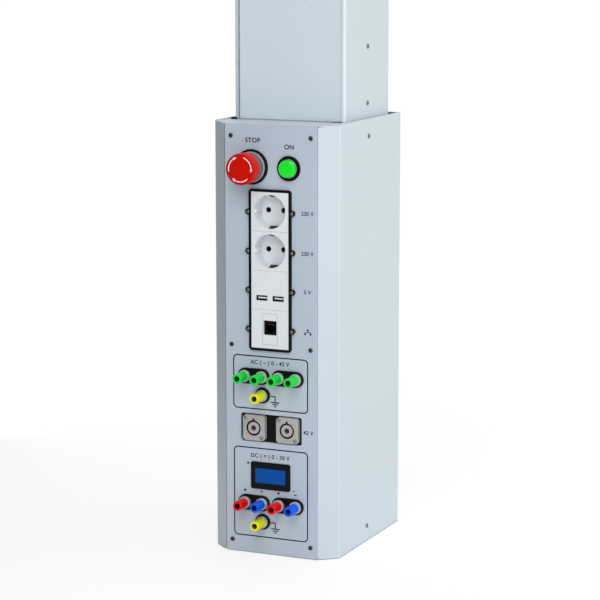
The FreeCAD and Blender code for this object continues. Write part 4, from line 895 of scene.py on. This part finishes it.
# %% [markdown]
# Three white arrows run round the red face and show which way it is turned to let it go. One
# arrow is a ribbon along an arc with a wedge at its end. Angles go clockwise from the top, as a
# watch shows them, and the second tree repeats the arrow round the middle of the face.

# %% Arrows on the emergency stop
ARROW_RADIUS, ARROW_LINE, ARROW_WIDTH = 14.0, 1.1, 3.4
ARC_START, ARC_STEP, ARC_POINTS = 18, 5, 15
TIP_START, TIP_END = 87, 103
ARROW_FRONT, ARROW_BACK = -31.95, -31.82


def round_place(radius, angle):
    return radius * math.sin(math.radians(angle)), radius * math.cos(math.radians(angle))


arc = [round_place(ARROW_RADIUS, ARC_START + ARC_STEP * step) for step in range(ARC_POINTS)]
tip = [round_place(ARROW_RADIUS + ARROW_WIDTH / 2, TIP_START),
       round_place(ARROW_RADIUS, TIP_END),
       round_place(ARROW_RADIUS - ARROW_WIDTH / 2, TIP_START)]
arrow = bmesh.new()
ribbon(arrow, arc, ARROW_LINE, ARROW_FRONT, ARROW_BACK)
wedge(arrow, tip, ARROW_FRONT, ARROW_BACK)
to_metres(arrow, (0, -PANEL_TO_CENTRE / 1000, 0))
stop_middle = on_head(STOP_ACROSS, PANEL_TO_CENTRE, CONTROLS_UP)
grow("stop_arrows", round_tree, {"Count": 3, "Centre": stop_middle, "Finish": white_ink},
     arrow, "estop_head")

# %% [markdown]
# Two rounded frames are printed on the panel, one round each group of binding posts. A printed
# line follows a path, so a third tree draws the rounded rectangle as a curve and sweeps a flat
# section along it.

# %% Tree for a printed frame
CORNER_POINTS = 7
frame_tree, frame_in, frame_out = new_tree(
    "printed_frame", [("Width", "Float"), ("Height", "Float"), ("Corner", "Float"),
                      ("Line", "Float"), ("Film", "Float"), ("Centre", "Vector"),
                      ("Finish", "Material")])
rectangle = add_node(frame_tree, "GeometryNodeCurvePrimitiveQuadrilateral")
soft_corners = add_node(frame_tree, "GeometryNodeFilletCurve", {"Count": CORNER_POINTS},
                        mode="POLY")
level = add_node(frame_tree, "GeometryNodeSetCurveNormal", mode="Z_UP")
section = add_node(frame_tree, "GeometryNodeCurvePrimitiveQuadrilateral")
sweep = add_node(frame_tree, "GeometryNodeCurveToMesh")
upright = add_node(frame_tree, "GeometryNodeTransform", {"Rotation": (math.pi / 2, 0, 0)})
join(frame_tree,
     (frame_in.outputs["Width"], rectangle.inputs["Width"]),
     (frame_in.outputs["Height"], rectangle.inputs["Height"]),
     (rectangle.outputs["Curve"], soft_corners.inputs["Curve"]),
     (frame_in.outputs["Corner"], soft_corners.inputs["Radius"]),
     (soft_corners.outputs["Curve"], level.inputs["Curve"]),
     (frame_in.outputs["Line"], section.inputs["Width"]),
     (frame_in.outputs["Film"], section.inputs["Height"]),
     (level.outputs["Curve"], sweep.inputs["Curve"]),
     (section.outputs["Curve"], sweep.inputs["Profile Curve"]),
     (sweep.outputs["Mesh"], upright.inputs["Geometry"]),
     (frame_in.outputs["Centre"], upright.inputs["Translation"]))
close_tree(frame_tree, upright.outputs["Geometry"], frame_in, frame_out)
print("tree:", frame_tree.name)

# %% [markdown]
# All ink on the panel lies between the same two levels, a hair in front of the lacquer. Each
# frame is given by its left, right, low and high lines.

# %% Printed frames
INK_FRONT, INK_BACK = -0.07, -0.01
INK_MIDDLE = (INK_FRONT + INK_BACK) / 2
FRAME_CORNER, FRAME_LINE = 0.0048, 0.0014

for name, left, right, low, high in (("ac_frame", -47.4, 45.9, 171.6, 233.4),
                                     ("dc_frame", -47.0, 45.9, 20.3, 125.3)):
    grow(name, frame_tree, {
        "Width": (right - left) / 1000, "Height": (high - low) / 1000,
        "Corner": FRAME_CORNER, "Line": FRAME_LINE, "Film": (INK_BACK - INK_FRONT) / 1000,
        "Centre": on_head((left + right) / 2, INK_MIDDLE, (low + high) / 2), "Finish": print_ink})

# %% [markdown]
# Numbers and plain signs are set in Blender's own type, turned upright, and made a mesh. Only
# generic marks are used: voltages, their kind, and the words STOP and ON. Small type is made a
# little bolder and wider spaced, as a printer does, so that it can be read.

# %% Printed numbers and signs
TYPE_SIZE, TYPE_BOLD, TYPE_SPACING = 1.42, 0.028, 1.04


def printed(name, words, across, up, height):
    curve = bpy.data.curves.new(name, "FONT")
    curve.body = words
    curve.size = height / 1000 * TYPE_SIZE
    curve.align_x = "CENTER"
    curve.align_y = "CENTER"
    curve.extrude = (INK_BACK - INK_FRONT) / 2000
    curve.offset = height / 1000 * TYPE_BOLD
    curve.space_character = TYPE_SPACING
    curve.resolution_u = 4
    lettering = bpy.data.objects.new(name, curve)
    bpy.context.collection.objects.link(lettering)
    ready = lettering.evaluated_get(bpy.context.evaluated_depsgraph_get())
    mesh = bpy.data.meshes.new_from_object(ready)
    shape = bmesh.new()
    shape.from_mesh(mesh)
    bpy.data.objects.remove(lettering)
    bpy.data.meshes.remove(mesh)
    upright_turn = Matrix.Rotation(math.pi / 2, 3, "X")
    bmesh.ops.rotate(shape, cent=(0, 0, 0), matrix=upright_turn, verts=shape.verts)
    bmesh.ops.translate(shape, vec=on_head(across, INK_MIDDLE, up), verts=shape.verts)
    settle(name, shape, print_ink)


printed("word_stop", "STOP", -22.4, 481.4, 5.4)
printed("word_on", "ON", 22.9, 475.2, 5.4)
printed("volts_upper", "220 V", 45.4, 400.9, 4.4)
printed("volts_lower", "220 V", 45.4, 355.3, 4.4)
printed("volts_port", "5 V", 45.6, 311.4, 4.4)
printed("volts_twist", "42 V", 46.8, 148.6, 4.5)
printed("range_ac", "AC ( ~ ) 0 - 42 V", -1.4, 226.3, 4.7)
printed("range_dc", "DC ( = ) 0 - 30 V", -1.4, 116.3, 4.7)

# %% [markdown]
# The other marks are drawn from strips: the sign for earth beside both yellow posts, small plus
# and minus signs over the posts of the lower group and at the meter, and three linked squares for
# the network port. A strip is a list of points and a width, in millimetres.

# %% Drawn signs
SIGN_LINE, LONG_BAR_LINE = 1.2, 1.3
POLE_UP, POLE_HALF = 74.2, 1.8


def strip(width, *points):
    return list(points), width


def drawn(name, strips):
    shape = bmesh.new()
    for points, width in strips:
        ribbon(shape, points, width, INK_FRONT, INK_BACK)
    to_metres(shape, on_head(0, 0, 0))
    settle(name, shape, print_ink)


def earth_sign(up):
    """Strips of the earth sign for a post at this height."""
    lead, bar = up - 0.4, up - 7.5
    return [strip(SIGN_LINE, (-0.6, lead), (5.7, lead)),
            strip(SIGN_LINE, (5.1, lead), (5.1, bar)),
            strip(LONG_BAR_LINE, (-0.4, bar), (10.6, bar)),
            strip(SIGN_LINE, (1.7, bar - 2.3), (8.5, bar - 2.3)),
            strip(SIGN_LINE, (3.4, bar - 4.5), (6.8, bar - 4.5))]


def minus(across, up, size, width=SIGN_LINE):
    return [strip(width, (across - size, up), (across + size, up))]


def plus(across, up, size):
    return minus(across, up, size) + [strip(SIGN_LINE, (across, up - size), (across, up + size))]


drawn("earth_sign_ac", earth_sign(UPPER_EARTH))
drawn("earth_sign_dc", earth_sign(LOWER_EARTH))
drawn("polarity_signs", plus(-33.5, POLE_UP, POLE_HALF) + plus(9.2, POLE_UP, POLE_HALF)
      + minus(-12.2, POLE_UP, POLE_HALF) + minus(30.4, POLE_UP, POLE_HALF)
      + minus(28.6, 78.4, 1.2, 1.1) + plus(-29.4, 106.8, 1.5))

# %% [markdown]
# In the network sign a square is a strip as wide as it is long, and thin strips link the three
# squares like branches.

# %% Network sign
SQUARE_HALF, BRANCH_LINE = 1.1, 0.6

network = [part for across, up in ((46.0, 268.1), (42.6, 263.5), (49.4, 263.5))
           for part in minus(across, up, SQUARE_HALF, 2 * SQUARE_HALF)]
network += [strip(BRANCH_LINE, (46.0, 267.1), (46.0, 265.8)),
            strip(BRANCH_LINE, (42.6, 265.8), (49.4, 265.8)),
            strip(BRANCH_LINE, (42.6, 266.1), (42.6, 264.5)),
            strip(BRANCH_LINE, (49.4, 266.1), (49.4, 264.5))]
drawn("network_sign", network)

# %% [markdown]
# Inside each charging port sits a tongue with four gold pads under it. The pads repeat at an even
# pitch, so the first tree makes them from one. The tongue's front is white.

# %% Charging ports
PORT_UP = 302.1
PORTS = {"left": -10.2, "right": 10.2}
PAD_COUNT, PAD_FIRST, PAD_STEP, PAD_HALF = 4, -3.5, 2.3333, 0.5
PAD_DEPTH, PAD_HEIGHTS = (0.0, 7.0), (PORT_UP - 1.02, PORT_UP - 0.93)
TONGUE_HALF_WIDTH, TONGUE_HALF_HEIGHT, TONGUE_DEPTH = 5.5, 0.9, (-0.18, -0.11)

for word, middle in PORTS.items():
    pad = bmesh.new()
    add_block(pad, around(middle + PAD_FIRST, PAD_HALF), PAD_DEPTH, PAD_HEIGHTS)
    grow("port_pads_" + word, row_tree, {
        "Count": PAD_COUNT, "Step": (PAD_STEP / 1000, 0, 0), "Finish": metals["gold_contact"]}, pad)
    tongue = bmesh.new()
    add_block(tongue, around(middle, TONGUE_HALF_WIDTH), TONGUE_DEPTH,
              around(PORT_UP, TONGUE_HALF_HEIGHT))
    settle("tongue_face_" + word, tongue, white_ink)

# %% [markdown]
# Eight spring wires lie along the roof of the network jack. The insert that holds the jack can be
# pulled out, and a fine grey line round it on the plate is painted shade for the seam between them.

# %% Network jack and its insert
JACK_UP = 267.9
WIRE_COUNT, WIRE_FIRST, WIRE_STEP, WIRE_HALF = 8, -3.57, 1.02, 0.2
WIRE_DEPTH, WIRE_HEIGHTS = (2.2, 11.0), (JACK_UP + 2.6, JACK_UP + 2.95)
INSERT_UP, INSERT_HALF_WIDTH, INSERT_HALF_HEIGHT = 266.3, 9.25, 17.95
OUTLINE_HALF, OUTLINE_DEPTH = 0.2, (-2.64, -2.59)

wire = bmesh.new()
add_block(wire, around(WIRE_FIRST, WIRE_HALF), WIRE_DEPTH, WIRE_HEIGHTS)
grow("jack_wires", row_tree, {
    "Count": WIRE_COUNT, "Step": (WIRE_STEP / 1000, 0, 0), "Finish": metals["gold_contact"]}, wire)

# A grey line of painted shade round the insert, standing for the shade in its seam.
outline = bmesh.new()
for side in (-1, 1):
    add_block(outline, around(side * INSERT_HALF_WIDTH, OUTLINE_HALF), OUTLINE_DEPTH,
              around(INSERT_UP, INSERT_HALF_HEIGHT + OUTLINE_HALF))
    add_block(outline, around(0, INSERT_HALF_WIDTH - OUTLINE_HALF), OUTLINE_DEPTH,
              around(INSERT_UP + side * INSERT_HALF_HEIGHT, OUTLINE_HALF))
settle("insert_outline", outline, seam_shade_grey)

# %% [markdown]
# Where the trunk enters the head, near-black pads paint the shade in the gap in the top plate. A
# pad sits round the left front corner, a flat strip under the right one, and a wider strip lies
# behind the trunk. They are blocks with a small bevel, so that their edges catch light.

# %% Dark pads of painted shade at the trunk's foot
HEAD_TOP = 500.0
PAD_BEVEL = 0.0003

pads = bmesh.new()
add_block(pads, (-73.0, -69.1), (48.8, 56.0), (HEAD_TOP, HEAD_TOP + 1.9))
add_block(pads, (-69.1, -65.6), (48.8, 52.1), (HEAD_TOP, HEAD_TOP + 1.9))
add_block(pads, (54.0, 66.5), (50.4, 52.1), (HEAD_TOP, HEAD_TOP + 0.6))
add_block(pads, (-69.0, 75.8), (186.6, 199.4), (HEAD_TOP, HEAD_TOP + 0.8))
bmesh.ops.bevel(pads, geom=pads.edges, offset=PAD_BEVEL, segments=2, affect="EDGES")
settle("corner_shade_pads", pads, pad_shade_black)

# %% [markdown]
# Folds in the sheet catch light as thin pale lines, and here those lines are painted highlights.
# Long upright beads in paler paint give them: over the fold of the trunk's right lip, and where the
# slanted faces of the head meet its sides. The left lip's bead keeps the housing paint, and a
# filler in the housing paint closes the groove at each slanted fold. Fine dark beads in the seams
# beside the panel and beside the trunk's cover are painted shade. An outline is drawn for the right
# side and mirrored for the left.

# %% Beads with painted highlights along folds and painted shade in seams
FOLD_ACROSS, FOLD_BACK, FOLD_RADIUS = 67.0, 54.25, 2.06
TRUNK_BEAD = (HEAD_TOP + 0.3, 993.9)
HEAD_BEAD = (0.3, HEAD_TOP)
SEAM_BEAD = (0.6, HEAD_TOP - 0.6)


def upright_bead(name, side, outline, heights, finish):
    """A prism over a level outline of across and back places."""
    shape = bmesh.new()
    foot, head = ([shape.verts.new(on_head(side * across, back, up)) for across, back in outline]
                  for up in heights)
    shape.faces.new(foot[::-1])
    shape.faces.new(head)
    for index in range(len(outline)):
        after = (index + 1) % len(outline)
        shape.faces.new([foot[index], foot[after], head[after], head[index]])
    settle(name, shape, finish)


fold = [(FOLD_ACROSS + FOLD_RADIUS * math.cos(math.radians(angle)),
         FOLD_BACK + FOLD_RADIUS * math.sin(math.radians(angle))) for angle in range(-90, 1, 10)]
lip = [(64.9, 52.19)] + fold + [(68.6, 54.3), (67.0, 52.6), (64.9, 52.6)]
filler = [(75.3, 15.60), (77.0, 17.07), (77.0, 17.95), (76.4, 17.95), (75.3, 16.6)]
glint = [(77.0, 17.05), (77.5, 17.45), (77.9, 17.78), (77.97, 17.97), (77.0, 17.97)]
panel_seam = [(57.53, 0.55), (57.97, 0.75), (57.97, 3.9), (57.53, 3.9)]
cover_seam = [(64.53, 52.75), (64.72, 52.75), (64.72, 54.5), (64.53, 54.5)]
# The right lip and the fold beads carry painted highlights; the seam beads carry painted shade.
for side, word, lip_finish in ((-1, "left", housing_paint), (1, "right", fold_highlight_paint)):
    upright_bead("lip_bead_" + word, side, lip, TRUNK_BEAD, lip_finish)
    upright_bead("fold_filler_" + word, side, filler, HEAD_BEAD, housing_paint)
    upright_bead("fold_highlight_" + word, side, glint, HEAD_BEAD, soft_fold_highlight)
    upright_bead("panel_seam_" + word, side, panel_seam, SEAM_BEAD, seam_shade_dark)
    upright_bead("cover_seam_" + word, side, cover_seam, TRUNK_BEAD, seam_shade_grey)

# %% [markdown]
# The grey collar behind the red head gets a painted highlight on its rim. It is a thin turned band
# in a paler grey over the collar's own rim, a few hundredths of a millimetre proud of it.

# %% Painted highlight on the collar's rim
rim_profile = ([(17.0, -3.05), (17.56, -3.05)] + rounded(16.9, -4.2, 0.66, 0, -90)
               + [(16.3, -4.86), (16.3, -4.6), (17.0, -4.4)])
collar_rim = settle("collar_rim", turned(rim_profile, STOP_ACROSS, CONTROLS_UP),
                    plastics["rim_highlight_plastic"])
smooth(collar_rim)
